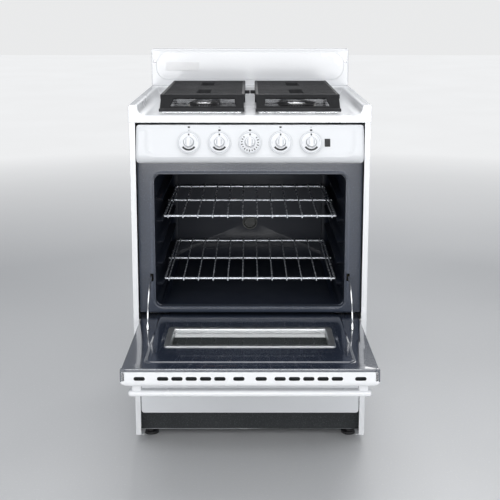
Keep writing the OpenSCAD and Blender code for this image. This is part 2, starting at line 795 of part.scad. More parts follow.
module door_liner() color("midnightblue")
  on_door() {
    edge = door_half - 2;
    ends = [-door_tail + 2, door_l - 2];
    difference() {
      union() {
        door_block([-edge, edge], [return_t, border_face], ends);
        door_block([-plateau, plateau], [border_face - 1, liner_face], [4, door_l - 42]);
      }
      door_block([-edge + sheet, edge - sheet], [return_t - 1, border_face - sheet],
                 [ends[0] + sheet, ends[1] - sheet]);
      door_block([-plateau + sheet, plateau - sheet], [border_face - 2, liner_face - sheet],
                 [4 + sheet, door_l - 42 - sheet]);
      door_block([-window_half + lip_w, window_half - lip_w], [0, liner_face + 1],
                 [window_l + lip_w, window_l + window_h - lip_w]);
      pair() door_block([arm_x - 3.5, arm_x + 3.5], [0, liner_face], [98, 126]);
      pair() door_block([edge - 3, edge + 1], [return_t - 1, border_face - sheet], [-9, 9]);
    }
  }

module door_insulation() color("khaki")
  on_door() difference() {
    door_block([46 - door_half, door_half - 46], [outer_face + 6.5, return_t - 1],
               [20, door_l - 20]);
    door_block([12 - outer_glass_half, outer_glass_half - 12], [outer_face, return_t],
               [outer_glass_l[0] - 5, outer_glass_l[1] + 5]);
  }

module window_outer() color([0.1, 0.1, 0.12, 0.6])
  on_door() door_block([-outer_glass_half, outer_glass_half],
                       [outer_face + sheet, outer_face + sheet + glass_t], outer_glass_l);

module window_inner() color([0.3, 0.33, 0.36, 0.4])
  on_door() door_block([-window_half + 6, window_half - 6], [-2, -2 + glass_t],
                       [window_l + 6, window_l + window_h - 6]);

module window_retainer() color("lightgray")
  on_door() difference() {
    wall = lip_w - 0.5;
    union() {
      door_block([-window_half, window_half], [liner_face, liner_face + 1.5],
                 [window_l, window_l + window_h]);
      door_block([-window_half + lip_w + 0.5, window_half - lip_w - 0.5],
                 [-2 + glass_t, liner_face],
                 [window_l + lip_w + 0.5, window_l + window_h - lip_w - 0.5]);
    }
    door_block([-window_half + lip_w + 2, window_half - lip_w - 2], [0, liner_face + 2],
               [window_l + lip_w + 2, window_l + window_h - lip_w - 2]);
  }

module door_handle() color("white")
  on_door() {
    near = outer_face - handle_gap;
    translate([-handle_w / 2, 0, 0]) rotate([90, 0, 90]) linear_extrude(handle_w)
      rounded_rect([near - handle_t, near], [handle_l - handle_h / 2, handle_l + handle_h / 2], 6);
    pair() door_block([handle_w / 2 - 30, handle_w / 2 - 8], [near, outer_face],
                      [handle_l - 9, handle_l + 9]);
  }

module hinge_arms() color("silver")
  on_door() pair() {
    translate([arm_x - arm_t / 2, 0, 0]) rotate([90, 0, 90]) linear_extrude(arm_t)
      polygon(concat(arc([0, 0], arm_r[1], 90 - arm_sweep[0], 90 - arm_sweep[1], 24),
                     arc([0, 0], arm_r[0], 90 - arm_sweep[1], 90 - arm_sweep[0], 24)));
    door_block([arm_x + arm_t / 2, arm_x + 10], [return_t + 1, border_face - sheet], [98, 126]);
  }

module hinge_brackets() color("silver")
  pair() {
    block([bracket_x, bracket_x + 3], [3, 60], [hinge_z - 14, hinge_z + 14]);
    block([bracket_x + 3, inner_x], [36, 60], [hinge_z - 14, hinge_z + 14]);
    translate([door_half - 16, at_depth(hinge_depth), hinge_z]) rotate([0, 90, 0])
      cylinder(r = pin_r, h = bracket_x - door_half + 16);
  }

module cord_gland() color("black")
  translate([gland_x, at_depth(cover_depth), gland_z]) rotate([-90, 0, 0]) difference() {
    union() {
      translate([0, 0, -9]) cylinder(r = 7.8, h = 9 + sheet);
      translate([0, 0, sheet]) cylinder(r = 12, h = 2.5);
    }
    translate([0, 0, -10]) cylinder(r = 4, h = 20);
  }

module cabinet_screws() color("silver")
  for (x = [-inner_x + 9, inner_x - 9], z = [90, 330, 570, 800])
    translate([x, at_depth(cover_depth + sheet), z]) rotate([-90, 0, 0]) {
      cylinder(r = 4.5, h = 1.5);
      translate([0, 0, 1.5]) cylinder(r1 = 4.5, r2 = 3, h = 0.8);
    }

// Grates
module grate() {
  x0 = grate_gap;
  x1 = grate_gap + grate_w;
  base = pan_z + 3;
  top = grate_top;
  difference() {
    along_x([x0, x1]) polygon([
      [at_depth(grate_front), base], [at_depth(grate_front + 9), base],
      [at_depth(grate_flat - 2), top - bar_h], [at_depth(grate_flat + 8), top - bar_h],
      [at_depth(grate_flat + 8), top],
      [at_depth(grate_flat - 2), top], [at_depth(grate_front), base + 9]]);
    along_y([grate_front - 1, grate_flat - 2]) polygon([
      [x0 + 19, base + 8], [x1 - 22, base + 8], [x1 - 36, top - 6], [x0 + 24, top - 6]]);
  }
  for (x = [x0, x1 - 8])
    block([x, x + 8], [grate_flat, grate_back], [top - bar_h, top]);
  bars = floor((grate_back - grate_flat) / bar_pitch);
  for (i = [1:bars]) {
    d = grate_flat + i * bar_pitch;
    near = min(abs(d - front_burner_depth - 45), abs(d - rear_burner_depth)) < 56;
    difference() {
      block([x0 + 8, x1 - 8], [d - bar_t / 2, d + bar_t / 2], [top - bar_h, top]);
      if (near) block([burner_x - finger_gap / 2, burner_x + finger_gap / 2],
                      [d - bar_t, d + bar_t], [top - bar_h - 1, top + 1]);
    }
  }
  for (x = [x0, x1 - 8], d = [(grate_flat + grate_back) / 2, grate_back - 10])
    block([x, x + 8], [d, d + 10], [deck_z, top - bar_h]);
}

module grate_left() color("dimgray") {
  mirror([1, 0, 0]) grate();
  block([-grate_gap, -0.5], [245, 257], [grate_top - bar_h, grate_top - 3]);
}

module grate_right() color("dimgray") {
  grate();
  block([0.5, grate_gap], [245, 257], [grate_top - bar_h, grate_top - 3]);
}

side_panel_left();
side_panel_right();
rear_cover();
base_frame();
kick_panel();
levelling_feet();
oven_front_frame();
cooktop();
backguard();
badge_plate();
drip_pans();
burner_heads();
burner_caps();
burner_tubes();
spark_electrodes();
gas_manifold();
burner_valves();
oven_thermostat();
gas_regulator();
control_panel();
switch_housing();
light_rocker();
oven_cavity();
oven_floor_panel();
flame_spreader();
oven_burner();
thermostat_bulb();
oven_lamp();
oven_insulation();
flue_duct();
drawer_rails();
hinge_brackets();
cord_gland();
cabinet_screws();
door_panel();
door_liner();
door_insulation();
window_outer();
window_inner();
window_retainer();
door_handle();
hinge_arms();
rack(upper_guide);  // rack_upper
rack(0);  // rack_lower
drawer_front();
drawer_body();
broiler_pan();
broiler_grid();
grate_left();
grate_right();
for (i = [1:5]) valve_stem(i);
for (i = [1:5]) knob(i);
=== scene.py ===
import math

import bmesh
import bpy
from mathutils import Matrix, Vector


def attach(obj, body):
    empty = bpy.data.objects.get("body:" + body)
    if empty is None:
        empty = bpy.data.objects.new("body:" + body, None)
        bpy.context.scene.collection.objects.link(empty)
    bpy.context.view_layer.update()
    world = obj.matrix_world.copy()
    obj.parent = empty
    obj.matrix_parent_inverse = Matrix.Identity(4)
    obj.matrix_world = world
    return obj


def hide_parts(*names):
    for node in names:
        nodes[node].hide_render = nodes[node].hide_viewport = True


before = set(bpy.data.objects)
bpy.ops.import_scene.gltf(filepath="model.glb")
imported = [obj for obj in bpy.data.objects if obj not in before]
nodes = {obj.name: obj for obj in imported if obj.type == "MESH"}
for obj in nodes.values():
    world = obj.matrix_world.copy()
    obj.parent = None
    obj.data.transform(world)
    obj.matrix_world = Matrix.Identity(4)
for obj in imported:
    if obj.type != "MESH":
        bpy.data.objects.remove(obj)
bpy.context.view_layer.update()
scene = bpy.context.scene
print("range: frame loaded,", len(nodes), "nodes")

mm = 0.001
frontPlane = -315  # y of the side panels' front edges, in millimetres

# camera and studio
cameraValues = {"place": (0.0, -2.774, 1.147), "tiltDown": 10.38, "lens": 71.07, "shiftUp": -0.13,}
cameraData = bpy.data.cameras.new("studioCamera")
cameraData.lens = cameraValues["lens"]
cameraData.sensor_width = 36
cameraData.shift_y = cameraValues["shiftUp"]
cameraData.clip_start, cameraData.clip_end = 0.05, 60
camera = bpy.data.objects.new("studioCamera", cameraData)
camera.location = cameraValues["place"]
camera.rotation_euler = (math.radians(90 - cameraValues["tiltDown"]), 0, 0)
scene.collection.objects.link(camera)
scene.camera = camera

lightValues = [  # name, place, aimed at, width, height, watts
    ("keyLeft", (-2.3, -2.6, 2.3), (0, 0, 0.6), 1.5, 1.9, 24),
    ("fillRight", (2.5, -2.3, 1.9), (0, 0, 0.6), 1.5, 1.9, 23),
    ("overhead", (0, -0.7, 3.0), (0, -0.1, 0.8), 2.4, 2.0, 29),
    ("frontSoft", (0, -4.2, 2.6), (0, 0, 0.2), 2.4, 1.2, 27),
    ("lowFront", (0, -3.9, 0.55), (0, -0.4, 0.2), 2.2, 0.7, 38),
    ("behind", (0.6, 3.4, 2.6), (0, 0, 0.5), 2.6, 1.6, 45),
]
for name, place, aim, width, height, watts in lightValues:
    lamp = bpy.data.lights.new(name, "AREA")
    lamp.shape, lamp.size, lamp.size_y, lamp.energy = "RECTANGLE", width, height, watts
    holder = bpy.data.objects.new(name, lamp)
    holder.location = place
    holder.rotation_euler = (Vector(aim) - Vector(place)).to_track_quat("-Z", "Y").to_euler()
    scene.collection.objects.link(holder)

# the background that is seen is paler than the light that comes from it
studio = bpy.data.worlds.new("studio")
studio.use_nodes = True
scene.world = studio
scene.view_settings.view_transform = "Standard"
tree = studio.node_tree
tree.nodes.clear()
output = tree.nodes.new("ShaderNodeOutputWorld")
seen, unseen = (tree.nodes.new("ShaderNodeBackground") for _ in range(2))
choose = tree.nodes.new("ShaderNodeMixShader")
path = tree.nodes.new("ShaderNodeLightPath")
for sky, colour, strength in ((seen, (0.82, 0.825, 0.83, 1), 1.0),
        (unseen, (0.60, 0.63, 0.68, 1), 0.42)):
    sky.inputs["Color"].default_value = colour
    sky.inputs["Strength"].default_value = strength
tree.links.new(path.outputs["Is Camera Ray"], choose.inputs["Fac"])
tree.links.new(unseen.outputs[0], choose.inputs[1])
tree.links.new(seen.outputs[0], choose.inputs[2])
tree.links.new(choose.outputs[0], output.inputs["Surface"])


# finishes
def addNode(tree, kind, **values):
    node = tree.nodes.new(kind)
    for key, value in values.items():
        if key in node.inputs:
            node.inputs[key].default_value = value
        else:
            setattr(node, key, value)
    return node


def connect(tree, *links):
    # each link is (from node, its output, to node, its input)
    for source, output, target, socket in links:
        tree.links.new(source.outputs[output], target.inputs[socket])


def newGroup(name, output, **inputs):
    # the group takes a place and some numbers or vectors, and gives one number
    group = bpy.data.node_groups.new(name, "ShaderNodeTree")
    addSocket = group.interface.new_socket
    addSocket("Vector", in_out="INPUT", socket_type="NodeSocketVector")
    for title, value in inputs.items():
        kind = "NodeSocketVector" if isinstance(value, tuple) else "NodeSocketFloat"
        addSocket(title, in_out="INPUT", socket_type=kind).default_value = value
    addSocket(output, in_out="OUTPUT", socket_type="NodeSocketFloat")
    return group, group.nodes.new("NodeGroupInput"), group.nodes.new("NodeGroupOutput")


def makeEnamelPeel():
    group, start, end = newGroup("enamelPeel", "Height", Scale=260.0, Grit=0.3)
    wave = addNode(group, "ShaderNodeTexNoise", Detail=2.0)
    fine = addNode(group, "ShaderNodeTexNoise", Detail=1.0)
    faster = addNode(group, "ShaderNodeMath", operation="MULTIPLY")
    faster.inputs[1].default_value = 3.7
    blend = addNode(group, "ShaderNodeMix", data_type="FLOAT")
    connect(group, (start, "Vector", wave, "Vector"), (start, "Vector", fine, "Vector"),
        (start, "Scale", wave, "Scale"), (start, "Scale", faster, 0), (faster, 0, fine, "Scale"),
        (start, "Grit", blend, 0), (wave, "Fac", blend, 2), (fine, "Fac", blend, 3),
        (blend, 0, end, "Height"))
    return group


def mixColour(tree, fac, first, second):
    mix = tree.nodes.new("ShaderNodeMix")
    mix.data_type = "RGBA"
    for socket, value in ((mix.inputs[0], fac), (mix.inputs[6], first), (mix.inputs[7], second)):
        if isinstance(value, bpy.types.NodeSocket):
            tree.links.new(value, socket)
        else:
            socket.default_value = value if isinstance(value, float) else (*value, 1)
    return mix.outputs[2]


def makeFlecks():
    group, start, end = newGroup("flecks", "Mask", Scale=300.0, Cover=0.3)
    noise = addNode(group, "ShaderNodeTexNoise", Detail=1.5, Roughness=0.6)
    sharpen = addNode(group, "ShaderNodeMapRange", interpolation_type="SMOOTHSTEP",
        **{"From Max": 0.8})
    edge = addNode(group, "ShaderNodeMath", operation="SUBTRACT")
    edge.inputs[0].default_value = 0.78
    connect(group, (start, "Vector", noise, "Vector"), (start, "Scale", noise, "Scale"),
        (start, "Cover", edge, 1), (noise, "Fac", sharpen, "Value"),
        (edge, 0, sharpen, "From Min"), (sharpen, "Result", end, "Mask"))
    return group


def makeWear():
    group, start, end = newGroup("edgeWear", "Mask", Amount=0.5)
    shape = addNode(group, "ShaderNodeNewGeometry")
    edges = addNode(group, "ShaderNodeMapRange", **{"From Min": 0.52, "From Max": 0.62})
    patch = addNode(group, "ShaderNodeTexNoise", Scale=45.0, Detail=3.0)
    both = addNode(group, "ShaderNodeMath", operation="MULTIPLY")
    final = addNode(group, "ShaderNodeMath", operation="MULTIPLY", use_clamp=True)
    connect(group, (shape, "Pointiness", edges, "Value"), (start, "Vector", patch, "Vector"),
        (edges, "Result", both, 0), (patch, "Fac", both, 1), (both, 0, final, 0),
        (start, "Amount", final, 1), (final, 0, end, "Mask"))
    return group


def makeBrushing():
    group, start, end = newGroup("brushing", "Lines", Stretch=(900, 12, 900))
    scaled = addNode(group, "ShaderNodeVectorMath", operation="MULTIPLY")
    noise = addNode(group, "ShaderNodeTexNoise", Scale=1.0, Detail=3.0, Roughness=0.6)
    connect(group, (start, "Vector", scaled, 0), (start, "Stretch", scaled, 1),
        (scaled, 0, noise, "Vector"), (noise, "Fac", end, "Lines"))
    return group


groups = {"peel": makeEnamelPeel(), "flecks": makeFlecks(), "wear": makeWear(),
    "brush": makeBrushing()}


def useGroup(tree, name, vector, **values):
    node = tree.nodes.new("ShaderNodeGroup")
    node.node_tree = groups[name]
    tree.links.new(vector, node.inputs["Vector"])
    for key, value in values.items():
        node.inputs[key].default_value = value
    return node.outputs[0]


bumpDepth = 0.0006  # metres
paint, slots = {}, {}


def finish(name, slot, base, second, metallic=0.0, rough=(0.25, 0.35), patch=6.0, fleck=None,
        wear=None, peel=(260.0, 0.3, 0.15), brush=None, coat=0.0, coatRough=0.05, ior=1.5,
        through=0.0, vectorFrom=None):
    made = bpy.data.materials.new(name)
    made.use_nodes = True
    tree = made.node_tree
    shader = tree.nodes["Principled BSDF"]
    spot = tree.nodes.new("ShaderNodeTexCoord").outputs["Object"]
    if vectorFrom:
        spot = vectorFrom(tree, spot)
    cloud = addNode(tree, "ShaderNodeTexNoise", Scale=patch, Detail=4.0)
    tree.links.new(spot, cloud.inputs["Vector"])
    colour = mixColour(tree, cloud.outputs["Fac"], base, second)
    lines = None
    if brush:
        lines = useGroup(tree, "brush", spot, Stretch=brush[0])
        colour = mixColour(tree, lines, colour, brush[1])
    if fleck:
        mask = useGroup(tree, "flecks", spot, Scale=fleck[0], Cover=fleck[1])
        colour = mixColour(tree, mask, colour, fleck[2])
    if wear:
        mask = useGroup(tree, "wear", spot, Amount=wear[0])
        colour = mixColour(tree, mask, colour, wear[1])
    tree.links.new(colour, shader.inputs["Base Color"])
    spread = addNode(tree, "ShaderNodeMapRange", **{"From Min": 0.3, "From Max": 0.7,
        "To Min": rough[0], "To Max": rough[1]})
    tree.links.new(lines or cloud.outputs["Fac"], spread.inputs["Value"])
    tree.links.new(spread.outputs["Result"], shader.inputs["Roughness"])
    height = useGroup(tree, "peel", spot, Scale=peel[0], Grit=peel[1])
    bump = addNode(tree, "ShaderNodeBump", Strength=peel[2], Distance=bumpDepth)
    if lines:
        total = addNode(tree, "ShaderNodeMath", operation="ADD")
        tree.links.new(height, total.inputs[0])
        tree.links.new(lines, total.inputs[1])
        height = total.outputs[0]
    tree.links.new(height, bump.inputs["Height"])
    tree.links.new(bump.outputs["Normal"], shader.inputs["Normal"])
    constants = {"Metallic": metallic, "Coat Weight": coat, "Coat Roughness": coatRough,
        "IOR": ior, "Transmission Weight": through}
    for key, value in constants.items():
        shader.inputs[key].default_value = value
    paint[name], slots[name] = made, slot
    return made


panCentres = {"across": 0.122, "middle": -0.0265, "along": 0.1385}  # metres


def aroundBurners(tree, spot):
    # turns the place on a pan into distance and angle about its nearest burner
    apart = addNode(tree, "ShaderNodeSeparateXYZ")
    tree.links.new(spot, apart.inputs[0])

    def calculate(operation, first, second=None):
        node = addNode(tree, "ShaderNodeMath", operation=operation)
        for socket, value in zip(node.inputs, (first, second)):
            if isinstance(value, bpy.types.NodeSocket):
                tree.links.new(value, socket)
            elif value is not None:
                socket.default_value = value
        return node.outputs[0]

    across = calculate("SUBTRACT", calculate("ABSOLUTE", apart.outputs[0]), panCentres["across"])
    middle = calculate("SUBTRACT", apart.outputs[1], panCentres["middle"])
    along = calculate("SUBTRACT", calculate("ABSOLUTE", middle), panCentres["along"])
    angle = calculate("ARCTAN2", along, across)
    reach = calculate("SQRT", calculate("ADD", calculate("MULTIPLY", across, across),
        calculate("MULTIPLY", along, along)))
    joined = addNode(tree, "ShaderNodeCombineXYZ")
    tree.links.new(angle, joined.inputs[0])
    tree.links.new(reach, joined.inputs[1])
    return joined.outputs[0]


finish("whiteEnamel", "white_enamel", (0.80, 0.81, 0.825), (0.79, 0.80, 0.82), rough=(0.25, 0.28),
    fleck=(900.0, 0.05, (0.75, 0.76, 0.77)), peel=(180.0, 0.4, 0.10),
    wear=(0.03, (0.84, 0.85, 0.86)), coat=0.35, coatRough=0.08)
# painted shade: the white enamel made darker for the control panel and the drawer front, which get
# less light
finish("panelWhite", "white_enamel", (0.70, 0.715, 0.735), (0.685, 0.70, 0.72), rough=(0.28, 0.36),
    peel=(240.0, 0.4, 0.08), wear=(0.05, (0.76, 0.77, 0.79)), coat=0.2, coatRough=0.15)
finish("blueEnamel", "blue_enamel", (0.02, 0.029, 0.05), (0.026, 0.036, 0.06), rough=(0.3, 0.42),
    fleck=(420.0, 0.24, (0.07, 0.09, 0.135)), peel=(210.0, 0.5, 0.45),
    wear=(0.6, (0.14, 0.17, 0.24)), coat=0.3, coatRough=0.2, ior=1.5)
finish("linerEnamel", "blue_enamel", (0.024, 0.031, 0.05), (0.03, 0.038, 0.06), rough=(0.12, 0.2),
    fleck=(480.0, 0.22, (0.07, 0.09, 0.13)), peel=(120.0, 0.4, 0.12),
    wear=(0.35, (0.12, 0.15, 0.2)), coat=1.0, coatRough=0.05, ior=1.9)
finish("ovenEnamel", "blue_enamel", (0.006, 0.009, 0.017), (0.009, 0.013, 0.024),
    rough=(0.44, 0.58), fleck=(380.0, 0.2, (0.014, 0.018, 0.028)), peel=(160.0, 0.5, 0.3),
    wear=(0.5, (0.03, 0.038, 0.056)), coat=0.12, coatRough=0.2, ior=1.33)
finish("kickBlack", "dark_kick", (0.013, 0.0155, 0.018), (0.018, 0.021, 0.023), rough=(0.6, 0.75),
    fleck=(330.0, 0.3, (0.05, 0.057, 0.06)), peel=(320.0, 0.6, 0.8))
finish("zincSteel", "plated_steel", (0.62, 0.64, 0.66), (0.54, 0.56, 0.59), metallic=1.0,
    rough=(0.25, 0.42), patch=22.0, peel=(140.0, 0.3, 0.12),
    brush=((40.0, 900.0, 900.0), (0.7, 0.71, 0.72)))
finish("brightSteel", "plated_steel", (0.78, 0.79, 0.8), (0.7, 0.71, 0.73), metallic=1.0,
    rough=(0.12, 0.24), patch=30.0, peel=(90.0, 0.2, 0.06))
finish("brushedPan", "bright_pan", (0.74, 0.75, 0.77), (0.62, 0.63, 0.65), metallic=1.0,
    rough=(0.16, 0.34), patch=3.0, peel=(50.0, 0.2, 0.1),
    brush=((26.0, 3.0, 1.0), (0.86, 0.86, 0.87)), vectorFrom=aroundBurners)
finish("castGrate", "grate_iron", (0.008, 0.0082, 0.009), (0.013, 0.0135, 0.015),
    rough=(0.5, 0.66), fleck=(500.0, 0.2, (0.03, 0.031, 0.033)), peel=(420.0, 0.5, 0.7),
    wear=(1.0, (0.11, 0.112, 0.118)), ior=1.3)
finish("castAluminium", "burner_aluminium", (0.66, 0.67, 0.69), (0.58, 0.59, 0.61), metallic=1.0,
    rough=(0.28, 0.42), patch=60.0, peel=(600.0, 0.5, 0.3), wear=(0.8, (0.84, 0.85, 0.86)))
finish("capBlack", "black_cap", (0.014, 0.014, 0.015), (0.022, 0.022, 0.024), rough=(0.3, 0.45),
    peel=(500.0, 0.5, 0.4), wear=(0.8, (0.12, 0.12, 0.12)), coat=0.3, coatRough=0.2)
finish("electrodeCeramic", None, (0.82, 0.8, 0.75), (0.76, 0.73, 0.67), rough=(0.2, 0.3), coat=0.4)
finish("valveBrass", None, (0.72, 0.55, 0.26), (0.6, 0.45, 0.2), metallic=1.0, rough=(0.28, 0.45),
    patch=40.0, brush=((900.0, 60.0, 900.0), (0.8, 0.64, 0.35)))
finish("regulatorGrey", None, (0.3, 0.32, 0.35), (0.25, 0.27, 0.3), metallic=0.6,
    rough=(0.45, 0.6), patch=50.0, peel=(500.0, 0.6, 0.5))
finish("blackPlastic", "black_plastic", (0.012, 0.012, 0.013), (0.02, 0.02, 0.021),
    rough=(0.35, 0.5), peel=(900.0, 0.5, 0.35), wear=(0.5, (0.08, 0.08, 0.08)))
finish("copperTube", None, (0.75, 0.4, 0.25), (0.6, 0.3, 0.18), metallic=1.0, rough=(0.25, 0.4),
    patch=60.0)
finish("lampGlass", None, (0.16, 0.17, 0.17), (0.2, 0.2, 0.19), rough=(0.08, 0.14), through=0.5,
    ior=1.5, peel=(60.0, 0.2, 0.05))
finish("mineralWool", None, (0.62, 0.56, 0.4), (0.48, 0.43, 0.3), rough=(0.9, 1.0), patch=30.0,
    fleck=(140.0, 0.35, (0.74, 0.7, 0.58)), peel=(120.0, 0.7, 1.0))
finish("smokedGlass", "dark_glass", (0.02, 0.022, 0.025), (0.03, 0.032, 0.035), rough=(0.03, 0.06),
    through=0.5, ior=1.52, peel=(12.0, 0.1, 0.02), coat=0.5, coatRough=0.02)
finish("windowGlass", "window_glass", (0.05, 0.056, 0.056), (0.06, 0.066, 0.066),
    rough=(0.02, 0.05), ior=2.2, coat=1.0, coatRough=0.02, peel=(10.0, 0.1, 0.015))
finish("retainerSteel", "badge_metal", (0.66, 0.68, 0.69), (0.58, 0.6, 0.61), metallic=1.0,
    rough=(0.3, 0.42), patch=24.0, brush=((12.0, 800.0, 800.0), (0.78, 0.79, 0.8)))
finish("rackChrome", "rack_chrome", (0.72, 0.75, 0.8), (0.62, 0.65, 0.7), metallic=0.6,
    rough=(0.2, 0.32), patch=80.0, peel=(500.0, 0.3, 0.1))
finish("panEnamel", "pan_enamel", (0.02, 0.02, 0.022), (0.03, 0.03, 0.033), rough=(0.2, 0.35),
    fleck=(500.0, 0.25, (0.3, 0.3, 0.32)), coat=0.6, wear=(0.8, (0.15, 0.15, 0.15)))
finish("knobWhite", "knob_white", (0.78, 0.79, 0.81), (0.75, 0.765, 0.79), rough=(0.22, 0.32),
    peel=(400.0, 0.4, 0.08), wear=(0.3, (0.95, 0.95, 0.95)), coat=0.25, coatRough=0.12)
# painted shade: a grey copy of the knob white, mostly standing in for the shade on the grip's
# fluted sides
finish("knobGrey", "knob_white", (0.40, 0.42, 0.44), (0.35, 0.37, 0.40), rough=(0.3, 0.42),
    peel=(400.0, 0.4, 0.12), wear=(0.4, (0.7, 0.71, 0.72)))
finish("panelInk", "knob_white", (0.012, 0.013, 0.015), (0.02, 0.021, 0.024), rough=(0.4, 0.5),
    patch=300.0, peel=(900.0, 0.5, 0.1))
finish("paleInk", "knob_white", (0.42, 0.44, 0.47), (0.5, 0.52, 0.55), rough=(0.4, 0.5),
    patch=300.0, peel=(900.0, 0.5, 0.1))
finish("badgeSilver", "badge_metal", (0.93, 0.93, 0.93), (0.9, 0.9, 0.91), rough=(0.3, 0.4),
    patch=60.0, peel=(300.0, 0.3, 0.05), wear=(0.6, (0.6, 0.61, 0.63)))
print("range:", len(paint), "finishes made")


# mesh helpers, in millimetres
def at(x, depth, z):
    return Vector((x, depth + frontPlane, z))


def square(bm, low, high, spot=None):
    # a plain block that a bevel will round later
    corners = [Vector((x, y, z)) for z in (low[2], high[2]) for y in (low[1], high[1])
        for x in (low[0], high[0])]
    vs = [bm.verts.new(spot @ c if spot else c) for c in corners]
    for a, b, c, d in ((0, 2, 3, 1), (4, 5, 7, 6), (0, 1, 5, 4), (1, 3, 7, 5), (3, 2, 6, 7),
            (2, 0, 4, 6)):
        bm.faces.new((vs[a], vs[b], vs[c], vs[d]))


def slab(bm, x, depth, z):
    square(bm, (x[0], depth[0] + frontPlane, z[0]), (x[1], depth[1] + frontPlane, z[1]))


def stitch(bm, one, two, closed=True):
    # a strip of faces between two rows of corners
    count = len(one)
    for i in range(count if closed else count - 1):
        j = (i + 1) % count
        bm.faces.new((one[i], one[j], two[j], two[i]))


def bridge(bm, rings, closed=True, capStart=True, capEnd=True):
    # joins rings of points into a skin
    made = [[bm.verts.new(p) for p in ring] for ring in rings]
    for one, two in zip(made, made[1:]):
        stitch(bm, one, two, closed)
    if capStart:
        bm.faces.new(list(reversed(made[0])))
    if capEnd:
        bm.faces.new(made[-1])
    return made


def spin(bm, profile, steps, spot=None):
    # turns (radius, height) points about the z axis
    turns = [2 * math.pi * i / steps for i in range(steps)]
    rings = []
    for radius, height in profile:
        r = max(radius, 0.01)
        ring = [Vector((r * math.cos(a), r * math.sin(a), height)) for a in turns]
        rings.append([spot @ p for p in ring] if spot else ring)
    bridge(bm, rings)


def roundedOutline(x, z, r, steps=8):
    # corners are (low, high) pairs, the points run anticlockwise
    points = []
    for cx, cz, start in ((x[1] - r, z[1] - r, 0), (x[0] + r, z[1] - r, 90),
            (x[0] + r, z[0] + r, 180), (x[1] - r, z[0] + r, 270)):
        for i in range(steps + 1):
            a = math.radians(start + 90 * i / steps)
            points.append((cx + r * math.cos(a), cz + r * math.sin(a)))
    return points


def wire(bm, points, radius, steps, closedEnds=True):
    # a round bar along a path of points
    rings = []
    for i, p in enumerate(points):
        before = points[max(i - 1, 0)]
        after = points[min(i + 1, len(points) - 1)]
        along = (after - before).normalized()
        side = along.orthogonal().normalized() if i == 0 else \
            (side - along * side.dot(along)).normalized()
        up = along.cross(side)
        rings.append([p + radius * (math.cos(a) * side + math.sin(a) * up)
            for a in [2 * math.pi * k / steps for k in range(steps)]])
    if closedEnds:
        for index, inward in ((0, 1), (-1, -2)):
            p = points[index]
            along = (p - points[inward]).normalized()
            tip = [p + along * radius * 0.55 + (v - p) * 0.7 for v in rings[index]]
            rings = [tip] + rings if index == 0 else rings + [tip]
    bridge(bm, rings)


def bend(corner, start, end, radius, steps=6):
    # an arc that rounds the corner of a path
    one = (start - corner).normalized()
    two = (end - corner).normalized()
    half = math.acos(max(-1, min(1, one.dot(two)))) / 2
    reach = radius / math.tan(half)
    centre = corner + (one + two).normalized() * (radius / math.sin(half))
    a, b = corner + one * reach - centre, corner + two * reach - centre
    return [centre + (a.slerp(b, i / steps) if a.angle(b) > 0.001 else a)
        for i in range(steps + 1)]


def toObject(name, bm, merge=0.001, scale=mm, outward=True):
    bmesh.ops.remove_doubles(bm, verts=bm.verts, dist=merge)
    if outward:
        bmesh.ops.recalc_face_normals(bm, faces=bm.faces)
    bmesh.ops.transform(bm, matrix=Matrix.Scale(scale, 4), verts=bm.verts)
    mesh = bpy.data.meshes.new(name)
    bm.to_mesh(mesh)
    bm.free()
    piece = bpy.data.objects.new(name, mesh)
    scene.collection.objects.link(piece)
    return piece


def fromNode(node, name, flatten=True):
    # a merged copy of a CAD node, with its flat faces joined up again where they have no holes
    bm = bmesh.new()
    bm.from_mesh(nodes[node].data)
    bmesh.ops.remove_doubles(bm, verts=bm.verts, dist=2e-6)
    if flatten:
        bmesh.ops.dissolve_limit(bm, angle_limit=math.radians(0.6), verts=bm.verts, edges=bm.edges)
    return toObject(name, bm, merge=1e-6, scale=1.0)


def discard(piece):
    old = piece.data
    bpy.data.objects.remove(piece)
    bpy.data.meshes.remove(old)


def settle(piece):
    # the modifiers' result becomes the piece's own mesh
    shapes = bpy.context.evaluated_depsgraph_get()
    mesh = bpy.data.meshes.new_from_object(piece.evaluated_get(shapes), depsgraph=shapes)
    piece.modifiers.clear()
    old = piece.data
    piece.data = mesh
    bpy.data.meshes.remove(old)
    mesh.name = piece.name


def roundEdges(piece, width, segments=2, angle=35):
    edges = piece.modifiers.new("edges", "BEVEL")
    edges.width, edges.segments = width * mm, segments
    edges.limit_method, edges.angle_limit = "ANGLE", math.radians(angle)
    edges.miter_outer = "MITER_ARC"
    settle(piece)


def smoothBy(piece, angle=40):
    piece.data.shade_smooth()
    piece.data.set_sharp_from_angle(angle=math.radians(angle))
    weigh = piece.modifiers.new("weigh", "WEIGHTED_NORMAL")
    weigh.keep_sharp = True
    weigh.mode = "FACE_AREA_WITH_ANGLE"
    settle(piece)


def place(piece, body, material, replaces=(), width=0, angle=40, slot=None):
    # rounds, shades and paints a piece, and rides it on its body
    if width:
        roundEdges(piece, width)
    smoothBy(piece, angle)
    piece.data.materials.clear()
    piece.data.materials.append(paint[material])
    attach(piece, body)
    if replaces:
        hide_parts(*replaces)


